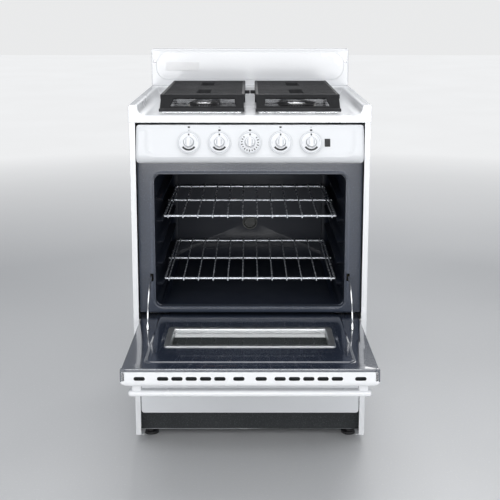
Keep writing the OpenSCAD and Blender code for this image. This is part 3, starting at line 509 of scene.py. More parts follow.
# Geometry Nodes for what repeats
def newTree(name, **inputs):
    made = bpy.data.node_groups.new(name, "GeometryNodeTree")
    addSocket = made.interface.new_socket
    addSocket("Geometry", in_out="INPUT", socket_type="NodeSocketGeometry")
    for title, kind in inputs.items():
        addSocket(title, in_out="INPUT", socket_type="NodeSocket" + kind)
    addSocket("Finish", in_out="INPUT", socket_type="NodeSocketMaterial")
    addSocket("Geometry", in_out="OUTPUT", socket_type="NodeSocketGeometry")
    start, end = made.nodes.new("NodeGroupInput"), made.nodes.new("NodeGroupOutput")
    real = made.nodes.new("GeometryNodeRealizeInstances")
    dress = made.nodes.new("GeometryNodeSetMaterial")
    made.links.new(real.outputs[0], dress.inputs["Geometry"])
    made.links.new(start.outputs["Finish"], dress.inputs["Material"])
    made.links.new(dress.outputs[0], end.inputs[0])
    return made, start, real


def makeRowTree():
    made, start, real = newTree("rowOfCopies", Count="Int", Step="Vector")
    line = made.nodes.new("GeometryNodeMeshLine")
    copies = made.nodes.new("GeometryNodeInstanceOnPoints")
    connect(made, (start, "Count", line, "Count"), (start, "Step", line, "Offset"),
        (line, 0, copies, "Points"), (start, "Geometry", copies, "Instance"), (copies, 0, real, 0))
    return made


def makeRingTree():
    made, start, real = newTree("ringOfCopies", Count="Int", Centre="Vector", Axis="Vector",
        Sweep="Float")
    line = addNode(made, "GeometryNodeMeshLine", Offset=(0, 0, 0))
    copies = made.nodes.new("GeometryNodeInstanceOnPoints")
    index = made.nodes.new("GeometryNodeInputIndex")
    share = addNode(made, "ShaderNodeMath", operation="MULTIPLY")
    turn = made.nodes.new("FunctionNodeAxisAngleToRotation")
    back = addNode(made, "ShaderNodeVectorMath", operation="SCALE", Scale=-1)
    centred = made.nodes.new("GeometryNodeTransform")
    connect(made, (start, "Count", line, "Count"), (start, "Centre", line, "Start Location"),
        (start, "Centre", back, 0), (start, "Geometry", centred, "Geometry"),
        (back, 0, centred, "Translation"), (index, 0, share, 0), (start, "Sweep", share, 1),
        (start, "Axis", turn, "Axis"), (share, 0, turn, "Angle"), (line, 0, copies, "Points"),
        (centred, 0, copies, "Instance"), (turn, 0, copies, "Rotation"), (copies, 0, real, 0))
    return made


def makePointsTree():
    made, start, real = newTree("copiesAtPoints", Item="Object", Turn="Rotation")
    item = made.nodes.new("GeometryNodeObjectInfo")
    copies = made.nodes.new("GeometryNodeInstanceOnPoints")
    connect(made, (start, "Item", item, "Object"), (start, "Geometry", copies, "Points"),
        (item, "Geometry", copies, "Instance"), (start, "Turn", copies, "Rotation"),
        (copies, 0, real, 0))
    return made


repeatTrees = {"row": makeRowTree(), "ring": makeRingTree(), "points": makePointsTree()}


def repeat(piece, kind, **values):
    copier = piece.modifiers.new(kind, "NODES")
    copier.node_group = repeatTrees[kind]
    for item in copier.node_group.interface.items_tree:
        if item.in_out == "INPUT" and item.name in values:
            copier[item.identifier] = values[item.name]
    scene.collection.objects.unlink(piece)  # linked again so that an Item object is found
    scene.collection.objects.link(piece)
    settle(piece)


def join(name, pieces):
    # one object from several, which are used up
    bm = bmesh.new()
    for piece in pieces:
        bm.from_mesh(piece.data)
        discard(piece)
    return toObject(name, bm, merge=1e-7, scale=1.0, outward=False)


def cut(piece, cutter):
    knife = piece.modifiers.new("cut", "BOOLEAN")
    knife.operation, knife.solver, knife.object = "DIFFERENCE", "EXACT", cutter
    settle(piece)
    discard(cutter)


def thicken(piece, thickness):
    wall = piece.modifiers.new("wall", "SOLIDIFY")
    wall.thickness, wall.offset = thickness * mm, -1.0
    settle(piece)


def keepShape(body, *rows):
    # CAD nodes that keep their shape: (node, piece, finish, edge rounding), and any other slot,
    # which is passed on to place and not used
    for node, name, material, edge, *slot in rows:
        place(fromNode(node, name, edge > 0), body, material, (node,), edge, 40, *slot)


def outlineAt(x, z, r, depth, steps=8):
    return [at(px, depth, pz) for px, pz in roundedOutline((-x, x), z, r, steps)]


def quarter(steps=6):
    # shares of a quarter round: (across, along), from the edge to the flat
    return [(1 - math.sin(math.pi / 2 * k / steps), 1 - math.cos(math.pi / 2 * k / steps))
        for k in range(steps + 1)]


# folded sheet metal
keepShape("cabinet", ("side_panel_left", "leftSide", "whiteEnamel", 0.55),
    ("side_panel_right", "rightSide", "whiteEnamel", 0.55),
    ("rear_cover", "rearCover", "zincSteel", 0),
    ("base_frame", "baseFrame", "zincSteel", 0),
    ("kick_panel", "kickPanel", "kickBlack", 0.5),
    ("levelling_feet", "levellingFeet", "blackPlastic", 1.0, "black_foot"),
    ("oven_floor_panel", "ovenFloor", "ovenEnamel", 0),
    ("flue_duct", "flueDuct", "zincSteel", 0),
    ("cord_gland", "cordGland", "blackPlastic", 0),
    ("cabinet_screws", "cabinetScrews", "brightSteel", 0.4))
print("range: folded sheets placed")

# cooktop
cooktopValues = {"half": 305, "back": 630, "apron": 855.5, "rim": 900, "deck": 873.5, "edge": 5,
    "lip": 6.5, "cove": 20, "rimFlat": 12, "rearWall": 581, "corner": 34, "front": 2.4,
    "sheet": 1.2}


def cooktopRing(inset, z, rear, corner):
    v = cooktopValues
    half = v["half"] - inset
    r = max(corner, 0.5)
    points = [at(-half, d, z) for d in (0, 60, 120, 200, 300, 400, 500)]
    for start, cx in ((180, -half + r), (90, half - r)):
        for k in range(9):
            a = math.radians(start - 90 * k / 8)
            points.append(at(cx + r * math.cos(a), rear - r + r * math.sin(a), z))
    points += [at(half, d, z) for d in (500, 400, 300, 200, 120, 60, 0)]
    return points


def makeCooktop():
    v = cooktopValues
    rings = [cooktopRing(0, v["apron"], v["back"], 13)]
    for across, along in quarter():
        rings.append(cooktopRing(v["edge"] * along, v["rim"] - v["edge"] * across,
            v["back"] - v["edge"] * along, 13 - v["edge"] * along))
    inner = v["edge"] + v["rimFlat"]
    for k in range(7):
        a = math.pi / 2 * k / 6
        s = v["lip"] * math.sin(a)
        rings.append(cooktopRing(inner + s, v["rim"] - v["lip"] * (1 - math.cos(a)),
            v["rearWall"] - s, v["corner"] - s))
    for k in range(1, 11):
        a = math.pi / 2 * k / 10
        s = v["lip"] + v["cove"] * (1 - math.cos(a))
        rings.append(cooktopRing(inner + s, v["deck"] + v["cove"] * (1 - math.sin(a)),
            v["rearWall"] - s, v["corner"] - s))
    bm = bmesh.new()
    made = bridge(bm, rings, closed=False, capStart=False, capEnd=False)
    bm.faces.new(made[-1])
    bm.faces.new([ring[0] for ring in made] + [ring[-1] for ring in reversed(made)])
    piece = toObject("cooktop_skin", bm)
    roundEdges(piece, v["front"], 3, angle=50)
    thicken(piece, v["sheet"])
    place(piece, "cabinet", "whiteEnamel", ("cooktop",), angle=50)


makeCooktop()

panValues = {"x": (22.5, 223.5), "depth": (50, 552), "z": 875, "rim": 3, "well": 62, "ridge": 1.1,
    "dome": (1.6, 22), "fold": (0.8, 5, 288), "thick": 1.4, "edge": 6,
    "burners": ((122, 150), (122, 427)), "columns": 46, "rows": 112}


def makePan(side):
    v = panValues
    bm = bmesh.new()

    def along(count, low, high):
        edge = [0, 0.6, 1.5, 3.2, v["edge"]]
        middle = [edge[-1] + (high - low - 2 * edge[-1]) * k / count for k in range(1, count)]
        return [low + e for e in edge] + [low + m for m in middle] + \
            [high - e for e in reversed(edge)]

    xs, ds = along(v["columns"], *v["x"]), along(v["rows"], *v["depth"])
    dome, domeReach = v["dome"]
    fold, foldReach, foldDepth = v["fold"]
    grid = []
    for d in ds:
        row = []
        for x in xs:
            edge = min(x - v["x"][0], v["x"][1] - x, d - v["depth"][0], v["depth"][1] - d)
            z = v["z"] + v["rim"] * max(0, 1 - edge / v["edge"]) ** 2
            for bx, bd in v["burners"]:
                reach = math.hypot(x - bx, d - bd)
                z += v["ridge"] * math.exp(-((reach - v["well"]) / 4.5) ** 2)
                z += dome * math.exp(-(reach / domeReach) ** 2)
            z += fold * math.exp(-((d - foldDepth) / foldReach) ** 2) * min(1, edge / 12)
            row.append(bm.verts.new(at(side * x, d, z)))
        grid.append(row)
    for one, two in zip(grid, grid[1:]):
        stitch(bm, one, two, closed=False)
    rim = [row[0] for row in grid] + grid[-1][1:] + \
        [row[-1] for row in reversed(grid[:-1])] + list(reversed(grid[0][1:-1]))
    low = [bm.verts.new((p.co.x, p.co.y, v["z"] - v["thick"])) for p in rim]
    stitch(bm, rim, low)
    bm.faces.new(low)
    return toObject("pan", bm)


place(join("dripPans", [makePan(-1), makePan(1)]), "cabinet", "brushedPan", ("drip_pans",),
    angle=50)

burnerValues = {"places": ((-122, 150, 39.5), (122, 150, 51.5), (-122, 427, 39.5),
    (122, 427, 39.5)), "base": 875, "portsPerRadius": 0.72}


def makeBurners():
    v = burnerValues
    heads, caps = [], []
    for x, d, r in v["places"]:
        spot = Matrix.Translation(at(x, d, v["base"]))
        bm = bmesh.new()
        spin(bm, [(0, 0.2), (r * 0.9, 0.2), (r * 0.92, 1), (r * 0.86, 3.2), (r * 0.79, 4.4),
            (r * 0.77, 6), (r * 0.77, 12.5), (r * 0.74, 13.4), (r * 0.56, 13.6), (r * 0.54, 14.4),
            (r * 0.5, 15.2), (r * 0.44, 15.6), (r * 0.4, 14.2), (r * 0.26, 14), (r * 0.2, 15.8),
            (r * 0.12, 16.4), (0, 16.4)], 64, spot)
        heads.append(toObject("head", bm))
        bm = bmesh.new()
        spin(bm, [(r * 0.57, 13.5), (r * 0.97, 13.2), (r * 0.995, 13.9), (r * 1.0, 15.4),
            (r * 0.985, 16.6), (r * 0.93, 17.4), (r * 0.64, 18.0), (r * 0.58, 17.7),
            (r * 0.565, 16.6), (r * 0.57, 13.5)], 64, spot)
        caps.append(toObject("cap", bm))
        bm = bmesh.new()
        square(bm, (r * 0.7, -1.1, 8.2), (r * 0.93, 1.1, 13.6), spot)
        tooth = toObject("tooth", bm)
        roundEdges(tooth, 0.5, 1)
        count = int(r * v["portsPerRadius"])
        repeat(tooth, "ring", Count=count, Centre=at(x, d, v["base"]) * mm, Axis=(0, 0, 1),
            Sweep=2 * math.pi / count, Finish=paint["capBlack"])
        caps.append(tooth)
    place(join("burnerHeads", heads), "cabinet", "castAluminium", ("burner_heads",), angle=30)
    place(join("burnerCaps", caps), "cabinet", "capBlack", ("burner_caps",), angle=35)


makeBurners()
print("range: cooktop, pans and burners placed")

# screws
screwValues = {"radius": 4.2, "slot": 0.8}


def makeScrew(name):
    # a pan head with a cross recess, its axis along z
    v = screwValues
    bm = bmesh.new()
    r = v["radius"]
    spin(bm, [(0, 0), (r, 0), (r, 0.5), (r * 0.93, 1.1), (r * 0.72, 1.6), (r * 0.4, 1.8),
        (0, 1.85)], 20)
    head = toObject(name, bm)
    half = v["slot"] / 2
    for across, along in ((r * 0.6, half), (half, r * 0.6)):
        bm = bmesh.new()
        square(bm, (-across, -along, 0.9), (across, along, 3))
        cut(head, toObject("cross", bm))
    return head


def putScrews(name, places, turn, body, material="brightSteel", size=1.0):
    item = makeScrew("screwItem")
    item.data.transform(Matrix.Scale(size, 4))
    bm = bmesh.new()
    for p in places:
        bm.verts.new(p)
    points = toObject(name, bm, outward=False)
    repeat(points, "points", Item=item, Turn=turn, Finish=paint[material])
    discard(item)
    place(points, body, material, angle=35)


towardsFront, towardsRight = (math.pi / 2, 0, 0), (0, math.pi / 2, 0)
towardsLeft = (0, -math.pi / 2, 0)
putScrews("backguardScrews", [at(-292.5, 593, 974), at(292.5, 593, 974)], towardsFront, "cabinet")
putScrews("ovenScrewsLeft", [at(-245, 67, 650)], towardsRight, "cabinet")
putScrews("ovenScrewsRight", [at(245, 67, 650)], towardsLeft, "cabinet")

# backguard
backguardValues = {"half": 303, "z": (900.2, 1012), "depth": (593, 628), "edge": 3.5,
    "emboss": (286, 920, 1000), "corner": 35, "rise": 1.5, "soft": 3, "vents": 13, "ventPitch": 30}


def makeBackguard():
    v = backguardValues
    low, high = v["z"]
    e = v["edge"]
    rings = [outlineAt(v["half"], v["z"], 4, v["depth"][1])]
    for across, along in quarter():
        inset = e * along
        rings.append(outlineAt(v["half"] - inset, (low + 0.2 * along, high - inset),
            4.5 - 3 * along, v["depth"][0] + e * across))
    x, zLow, zHigh = v["emboss"]
    for k in range(6):
        share = k / 5
        grow = v["soft"] * (1 - share)
        lift = v["rise"] * (0.5 - 0.5 * math.cos(math.pi * share))
        rings.append(outlineAt(x + grow, (zLow - grow, zHigh + grow), v["corner"] + grow,
            v["depth"][0] - lift))
    bm = bmesh.new()
    bridge(bm, rings)
    piece = toObject("backguard_shell", bm)
    bm = bmesh.new()
    first = -v["ventPitch"] * (v["vents"] - 1) / 2
    slab(bm, (first - 10, first + 10), (v["depth"][1] - 5, v["depth"][1] + 3), (982, 990))
    vents = toObject("vents", bm)
    repeat(vents, "row", Count=v["vents"], Step=(v["ventPitch"] * mm, 0, 0),
        Finish=paint["whiteEnamel"])
    cut(piece, vents)
    place(piece, "cabinet", "whiteEnamel", ("backguard",), angle=50)


makeBackguard()

badgeValues = {"x": (-258, -157), "depth": (590.2, 591.45), "z": (947, 973)}
bm = bmesh.new()
slab(bm, badgeValues["x"], badgeValues["depth"], badgeValues["z"])
place(toObject("badgePlate", bm), "cabinet", "badgeSilver", ("badge_plate",), width=0.5)

# control panel
panelValues = {"half": 286.5, "z": (753.5, 849.5), "band": 14, "bandLean": 3.5, "crease": 777.5,
    "bulge": 20, "back": 29, "end": 9, "raise": 3.6, "faceHalf": 258, "faceLow": 776.5,
    "faceCorner": 24, "soften": 4.5}


def smoothstep(value):
    value = max(0.0, min(1.0, value))
    return value * value * (3 - 2 * value)


def panelLift(x, z, inset):
    # the sheet stands proud round the flat field that holds the knobs
    v = panelValues
    outX = abs(x) - (v["faceHalf"] - v["faceCorner"])
    outZ = (v["faceLow"] + v["faceCorner"]) - z
    away = math.hypot(max(outX, 0), max(outZ, 0)) - v["faceCorner"]
    return v["raise"] * smoothstep(away / v["soften"]) * (1 - inset / v["end"])


def panelPoint(t, x, inset):
    # t runs from the top back edge, over the face and round under the panel
    v = panelValues
    low, high = v["z"]
    top, bottom = high - inset, low + inset
    bandEnd = high - v["band"]
    if t < 0.1:
        return v["back"] + (inset - v["back"]) * t / 0.1, top
    if t < 0.2:
        share = (t - 0.1) / 0.1
        return inset - v["bandLean"] * share, top + (bandEnd - top) * share
    if t < 0.6:
        share = (t - 0.2) / 0.4
        z = bandEnd + (v["crease"] - bandEnd) * share
        depth = inset - v["bandLean"] + (-v["bulge"] + v["bandLean"]) * share
        return depth - panelLift(x, z, inset), z
    if t < 0.95:
        a = (t - 0.6) / 0.35 * math.pi / 2
        z = v["crease"] - (v["crease"] - bottom) * math.sin(a)
        reach = (v["bulge"] - 5) * math.cos(a) + panelLift(x, z, inset) * math.cos(a)
        return -5 + inset - reach, z
    share = (t - 0.95) / 0.05
    return -5 + inset + (v["back"] + 5 - inset) * share, bottom


def makePanel():
    v = panelValues
    stations = [(-v["half"] + v["end"] * along, v["end"] * across) for across, along in quarter(8)]
    inner = v["half"] - v["end"]
    count = 96
    stations += [(-inner + 2 * inner * k / count, 0) for k in range(1, count)]
    stations += [(-x, inset) for x, inset in reversed(stations[:9])]
    steps = [0, 0.05, 0.1, 0.15, 0.2] + [0.2 + 0.4 * k / 26 for k in range(1, 27)] + \
        [0.6 + 0.35 * k / 14 for k in range(1, 15)] + [1.0]
    rings = []
    for x, inset in stations:
        rings.append([at(x, *panelPoint(t, x, inset)) for t in steps])
    bm = bmesh.new()
    bridge(bm, rings)
    piece = toObject("controlPanel", bm)
    place(piece, "cabinet", "panelWhite", ("control_panel",), angle=28)


makePanel()

faceLean = math.radians(90 - 15.88)
knobValues = {"pitch": 76.5, "z": 806, "depth": -11.892, "gap": 3.5, "skirt": 28,
    "grip": (4.75, 13), "ticks": 15}


def onPanel(x):
    v = knobValues
    return Matrix.Translation(at(x, v["depth"], v["z"])) @ Matrix.Rotation(faceLean, 4, "X")


def band(bm, spot, radius, width, start, end, low, high, steps=24):
    # a raised arc between two angles, clockwise from the top
    inner, outer = [], []
    for k in range(steps + 1):
        a = math.radians(90 - start - (end - start) * k / steps)
        inner.append((math.cos(a) * (radius - width / 2), math.sin(a) * (radius - width / 2)))
        outer.append((math.cos(a) * (radius + width / 2), math.sin(a) * (radius + width / 2)))
    outline = inner + outer[::-1]
    rings = [[spot @ Vector((x, y, z)) for x, y in outline] for z in (low, high)]
    bridge(bm, rings, capStart=False, capEnd=False)
    for z in (low, high):
        stitch(bm, *([bm.verts.new(spot @ Vector((x, y, z))) for x, y in arc]
            for arc in (inner, outer)), closed=False)


def makeKnob(i):
    v = knobValues
    spot = onPanel((i - 3) * v["pitch"])
    base = v["gap"]
    r = v["skirt"]
    body = f"knob_{i}"
    bm = bmesh.new()
    spin(bm, [(3.9, base + 0.2), (r - 2, base), (r - 0.5, base + 0.3), (r, base + 1),
        (r, base + 1.8), (r - 0.5, base + 2.6), (r - 1.6, base + 3.0), (r - 2.4, base + 2.7),
        (r - 3.2, base + 3.1), (14.5, base + 3.5), (13.6, base + 3.6), (13.2, base + 4.6),
        (11.2, base + 16.2), (10.4, base + 17), (0, base + 17)], 72, spot)
    skirt = toObject("skirt", bm)
    half, reach = v["grip"]
    bm = bmesh.new()
    rings = []
    for z, w, l in ((3.2, half + 0.5, reach + 0.6), (12, half - 0.1, reach + 0.1),
            (19.5, half - 0.6, reach - 0.5), (21, half - 1.1, reach - 1.0),
            (21.5, half - 2.0, reach - 2.2)):
        rings.append([spot @ Vector((x, y, base + z)) for x,
            y in roundedOutline((-w, w), (-l, l), min(w, 3.2) - 0.05, 5)])
    bridge(bm, rings)
    grip = toObject("grip", bm)
    place(join(f"knobBody{i}", [skirt, grip]), body, "knobWhite", (body,), angle=35)
    # the fluted sides of the grip, painted grey mostly as the shade that falls on them
    bm = bmesh.new()
    for side in (-1, 1):
        for k in range(3):
            x = side * (half + 1.8 + 2.5 * k)
            long = math.sqrt(max(reach ** 2 - x * x, 9)) - 0.6
            rings = [[spot @ Vector((x + px, py, base + z)) for px,
                py in roundedOutline((-1.4 * s, 1.4 * s), (-long * s, long * s), 1.3 * s, 4)]
                for z, s in ((3.4, 1.0), (15 - k, 0.96), (16.6 - k * 1.6, 0.8),
                (17.2 - k * 1.8, 0.5))]
            bridge(bm, rings)
    place(toObject(f"knobFlutes{i}", bm), body, "knobGrey", angle=35)
    # printed marks on the skirt
    bm = bmesh.new()
    low, high = base + 3.0, base + 3.75
    if i == 3:
        for k in range(v["ticks"]):
            angle = 50 + 18.5 * k
            band(bm, spot, 20.5, 5.0 if k % 2 else 3.4, angle, angle + 7, low, high, 3)
    else:
        band(bm, spot, 18.4, 4.4, 126, 234, low, high + 0.2)
    band(bm, spot, 20.0, 4.6, -5, 5, low, high, 3)
    place(toObject(f"knobMarks{i}", bm), body, "panelInk", angle=35)
    bm = bmesh.new()
    band(bm, spot, r - 2.6, 1.5, 0, 359.9, low - 0.5, base + 3.12, 72)
    if i != 3:
        band(bm, spot, 21.5, 1.1, 28, 84, low, high - 0.1, 12)
        band(bm, spot, 21.5, 1.1, 262, 276, low, high - 0.1, 4)
    place(toObject(f"knobRings{i}", bm), body, "paleInk", angle=35)


for i in range(1, 6):
    makeKnob(i)

# small square marks above the knobs show which burner each one is for
markValues = {"z": 836.5, "step": 7.4, "dark": 2.7, "pale": 1.9, "proud": 0.45,
    "darkLevels": (1, 0, 0, 1, 0)}


def makeMarks():
    v = markValues
    dark, pale = bmesh.new(), bmesh.new()
    for i, darkLevel in enumerate(v["darkLevels"]):
        x = (i - 2) * knobValues["pitch"]
        for level in (0, 1):
            if i == 2 and level == 1:
                continue
            target, half = (dark, v["dark"]) if level == darkLevel else (pale, v["pale"])
            z = v["z"] + v["step"] * level
            front = -panelValues["bandLean"] * (panelValues["z"][1] - z) / panelValues["band"]
            slab(target, (x - half, x + half), (front - v["proud"], 2),
                (z - half * 0.8, z + half * 0.8))
    for name, target, material in (("panelMarks", dark, "panelInk"),
            ("panelMarksPale", pale, "paleInk")):
        place(toObject(name, target), "cabinet", material, width=0.15, slot="white_enamel")


makeMarks()

# lamp switch
switchValues = {"x": 193.7, "outer": (7, 10, 1.2), "inner": (4.7, 7.7, 0.5)}
spot = onPanel(switchValues["x"])
bm = bmesh.new()
outer, inner = (roundedOutline((-x, x), (-z, z), r, 4) for x, z,
    r in (switchValues["outer"], switchValues["inner"]))
bridge(bm, [[spot @ Vector((x, y, z)) for x, y in line] for line,
    z in ((outer, 0.05), (outer, 1.2), (inner, 1.5), (inner, 0.25))])
place(toObject("switchBezel", bm), "cabinet", "blackPlastic", ("switch_housing",), width=0.3)
keepShape("rocker", ("light_rocker", "rockerCap", "blackPlastic", 0.5))
print("range: backguard, panel and knobs placed")

# oven front frame, with its lip rolled into the opening
ovenValues = {"half": 245, "z": (370, 718), "corner": 18, "frameHalf": 288, "frameZ": (352, 763),
    "front": 29, "sheet": 1.5, "back": 525.5, "roll": 5, "rearCorner": 22, "armX": 255.5,
    "armZ": (436.5, 456.5), "ledge": 414, "ledgePitch": 56.7, "ledges": 5, "rivets": (60, 460),
    "vee": (150, 396, 424)}


def makeOvenFrame():
    v = ovenValues
    rings = []

    def edgeRing(inset, deep):
        low, high = v["frameZ"]
        rings.append(outlineAt(v["frameHalf"] - inset, (low + inset, high - inset), 1.5,
            v["front"] + deep, 10))

    def mouthRing(wide, corner, deep):
        low, high = v["z"]
        rings.append(outlineAt(v["half"] + wide, (low - wide, high + wide), v["corner"] + corner,
            v["front"] + deep, 10))

    for inset, deep in ((0, v["sheet"]), (0, 0.3), (0.4, 0)):
        edgeRing(inset, deep)
    for lift, wide in ((0, 13), (0.5, 11.5), (0.5, 7.5), (0, 6)):
        mouthRing(wide, wide, -lift)
    for across, along in quarter(5):
        wide = v["roll"] * (1 - along)
        mouthRing(0.05 + wide, wide, 0.01 + v["roll"] * (1 - across))
    for wide, corner, deep in ((0.05, 0, 6.5), (1.3, 1.3, 6.5), (1.4, 1.4, v["sheet"])):
        mouthRing(wide, corner, deep)
    bm = bmesh.new()
    made = bridge(bm, rings, capStart=False, capEnd=False)
    stitch(bm, made[-1], made[0])
    piece = toObject("ovenFrontFrame", bm)
    bm = bmesh.new()
    for side in (-1, 1):
        x = side * v["armX"]
        slab(bm, (x - 4, x + 4), (v["front"] - 3, v["front"] + 4), v["armZ"])
    cut(piece, toObject("armSlots", bm))
    place(piece, "cabinet", "blueEnamel", ("oven_front_frame",), angle=50)


makeOvenFrame()

# oven cavity: the folded box, rounded corner strips and a shallow pressed back
keepShape("cabinet", ("oven_cavity", "ovenBox", "ovenEnamel", 0))


def makeCavityTrim():
    v = ovenValues
    r, low, high, back = v["rearCorner"], v["z"][0] + 1.6, v["z"][1] - 1, v["back"] - 0.3
    bm = bmesh.new()
    for side in (-1, 1):
        wall = side * (v["half"] - 0.4)
        outline = [(wall, back)]
        for k in range(9):
            a = math.pi / 2 * k / 8
            outline.append((wall - side * r * (1 - math.cos(a)), back - r * (1 - math.sin(a))))
        bridge(bm, [[at(x, d, z) for x, d in outline] for z in (low, high)])
    place(toObject("ovenCorners", bm), "cabinet", "ovenEnamel", angle=50)
    bm = bmesh.new()
    for side in (-1, 1):
        x = side * (v["half"] - r - 2)
        wire(bm, [at(x, back - 0.2, low + 8), at(x, back - 0.2, high - 14)], 0.9, 8)
    # a shallow V is pressed into the back for stiffness
    reach, veeLow, veeHigh = v["vee"]
    for x in (-reach, reach):
        wire(bm, [at(x, back + 0.2, veeLow), at(0, back + 0.2, veeHigh)], 1.2, 8)
    place(toObject("ovenPressings", bm), "cabinet", "ovenEnamel", angle=60)
    # the runners' fixings stand down both side walls
    for name, side, turn in (("Left", -1, towardsRight), ("Right", 1, towardsLeft)):
        places = [at(side * v["half"], d, v["ledge"] + v["ledgePitch"] * k)
            for k in range(v["ledges"]) for d in v["rivets"]]
        putScrews("ledgeRivets" + name, places, turn, "cabinet", "ovenEnamel", 1.1)


makeCavityTrim()

# racks
rackValues = {"half": 232, "front": 80.5, "back": 519.5, "frameWire": 3, "gridWire": 1.8,
    "wires": 12, "pitch": 39.17, "lift": 4.5, "bend": 14}


def makeRack(name, node, z):
    v = rackValues
    half, front, back = v["half"], v["front"], v["back"]
    bm = bmesh.new()
    corners = [at(half, front, z), at(half, back, z), at(-half, back, z), at(-half, front, z)]
    loop = []
    for i, corner in enumerate(corners):
        loop += bend(corner, corners[i - 1], corners[(i + 1) % 4], v["bend"] * 0.5, 6)
    wire(bm, loop + [loop[0]], v["frameWire"], 12, closedEnds=False)
    middle = (front + back) / 2
    wire(bm, [at(-half, middle, z), at(half, middle, z)], v["frameWire"], 12)
    rails = toObject("rails", bm)
    bm = bmesh.new()
    x = -v["pitch"] * (v["wires"] - 1) / 2
    top = z + v["lift"]
    path = [at(x, front - 4.7, z - 2.6), at(x, front - 4.7, z + 1.2), at(x, front - 3.6, z + 3.6),
        at(x, front - 1, top), at(x, front + 8, top), at(x, back, top)]
    wire(bm, path, v["gridWire"], 8)
    wires = toObject("wires", bm)
    repeat(wires, "row", Count=v["wires"], Step=(v["pitch"] * mm, 0, 0),
        Finish=paint["rackChrome"])
    place(join(name, [rails, wires]), node.replace("rack_", "") + "_rack", "rackChrome", (node,),
        angle=60)


makeRack("lowerRack", "rack_lower", 428)
makeRack("upperRack", "rack_upper", 598.1)
print("range: oven and racks placed")

# grates: a sloping pierced front, two side rails and rows of cross bars
grateValues = {"x": (14, 232), "front": 40, "flat": 95, "back": 560, "base": 878, "top": 918,
    "bar": 12, "barWide": 7, "pitch": 27, "gap": (105, 140), "round": 1.9,
    "foot": (327.5, 550, 10, 873.6), "link": (245, 257),
    "fullRows": ((122, 1), (257, 5), (500, 3)), "splitRows": ((149, 4), (392, 4))}


def roundedPolygon(corners, r):
    points = []
    for i, corner in enumerate(corners):
        c, before, after = (Vector((*p, 0)) for p in (corner, corners[i - 1],
            corners[(i + 1) % len(corners)]))
        points += [(p.x, p.y) for p in bend(c, before, after, r, 5)]
    return points


def makeGrate(side):
    v = grateValues
    x0, x1 = v["x"]
    top, low = v["top"], v["base"]
    solids = []

    def onSlope(x, z, deep):
        share = (z - low - 5) / (top - low - 5)
        return at(side * x, v["front"] + 1 + 52 * share + 2.6 * deep, z - 3.8 * deep)

    outer = roundedPolygon(((x0, low + 6), (x1, low + 6), (x1, top), (x0, top)), 3)
    inner = roundedPolygon(((x0 + 17, low + 8.6), (x1 - 20, low + 8.6), (x1 - 33, top - 3.4),
        (x0 + 22, top - 3.4)), 6)
    bm = bmesh.new()
    made = bridge(bm, [[onSlope(x, z, deep) for x, z in line] for line,
        deep in ((outer, 1), (outer, 0), (inner, 0), (inner, 1))], capStart=False, capEnd=False)
    stitch(bm, made[-1], made[0])
    solids.append(toObject("slope", bm))
    bm = bmesh.new()
    ends = sorted((side * x0, side * x1))
    slab(bm, ends, (v["front"], v["front"] + 9), (low, low + 8.4))
    for x in (x0, x1 - 8):
        rail = sorted((side * x, side * (x + 8)))
        slab(bm, rail, (v["flat"] - 6, v["back"]), (top - v["bar"], top))
        for d in v["foot"][:2]:
            slab(bm, rail, (d, d + v["foot"][2]), (v["foot"][3], top - v["bar"] + 2))
    slab(bm, ends, (v["flat"] - 3, v["flat"] + 8), (top - 5.5, top))
    slab(bm, sorted((side * 0.6, side * (x0 + 2))), v["link"], (top - 12, top - 3))
    solids.append(toObject("rails", bm))
    rows = [(start, count, ((x0 + 5, x1 - 5),)) for start, count in v["fullRows"]] + \
        [(start, count, ((x0 + 5, v["gap"][0]), (v["gap"][1], x1 - 5)))
         for start, count in v["splitRows"]]
    for start, count, spans in rows:
        bm = bmesh.new()
        for span in spans:
            slab(bm, sorted((side * span[0], side * span[1])),
                (start - v["barWide"] / 2, start + v["barWide"] / 2), (top - v["bar"], top - 0.2))
        bars = toObject("bars", bm)
        repeat(bars, "row", Count=count, Step=(0, v["pitch"] * mm, 0), Finish=paint["castGrate"])
        solids.append(bars)
    for solid in solids:
        roundEdges(solid, v["round"], 3)
    bm = bmesh.new()
    for x in (x0 + 9, x1 - 9):
        spot = Matrix.Translation(at(side * x, v["front"] + 0.2, low + 5.5)) @ \
            Matrix.Rotation(math.pi / 2, 4, "X")
        spin(bm, [(0, -3), (3.4, -3), (3.4, -0.3), (2.6, 0.1), (0, 0.2)], 20, spot)
    solids.append(toObject("bolts", bm))
    name = "left" if side < 0 else "right"
    place(join(f"{name}Grate", solids), f"{name}_grate", "castGrate", (f"grate_{name}",), angle=45)


makeGrate(-1)
makeGrate(1)

# door
doorSpot = Matrix.Translation((0, -300, 334.5)) @ Matrix.Rotation(math.radians(88), 4, "X")
doorValues = {"half": 286, "length": 414.5, "tail": 40, "outer": -32.5, "border": 9.5, "bend": 11,
    "sheet": 1.2, "liner": 12.5, "slots": (24.6, 66.3, 97.8, 129.4, 160.8, 192.3, 243.9),
    "slot": (12.5, 4.5), "plateau": (235, 4, 372.5), "window": (202.5, 109, 265), "lip": 14,
    "glass": (215, 90, 290), "arm": 255.5}


def onDoor(x, t, l):
    return doorSpot @ Vector((x, t, l))


def doorOutline(x, l, r, t, steps=8):
    return [onDoor(px, t, pl) for px, pl in roundedOutline(x, l, r, steps)]


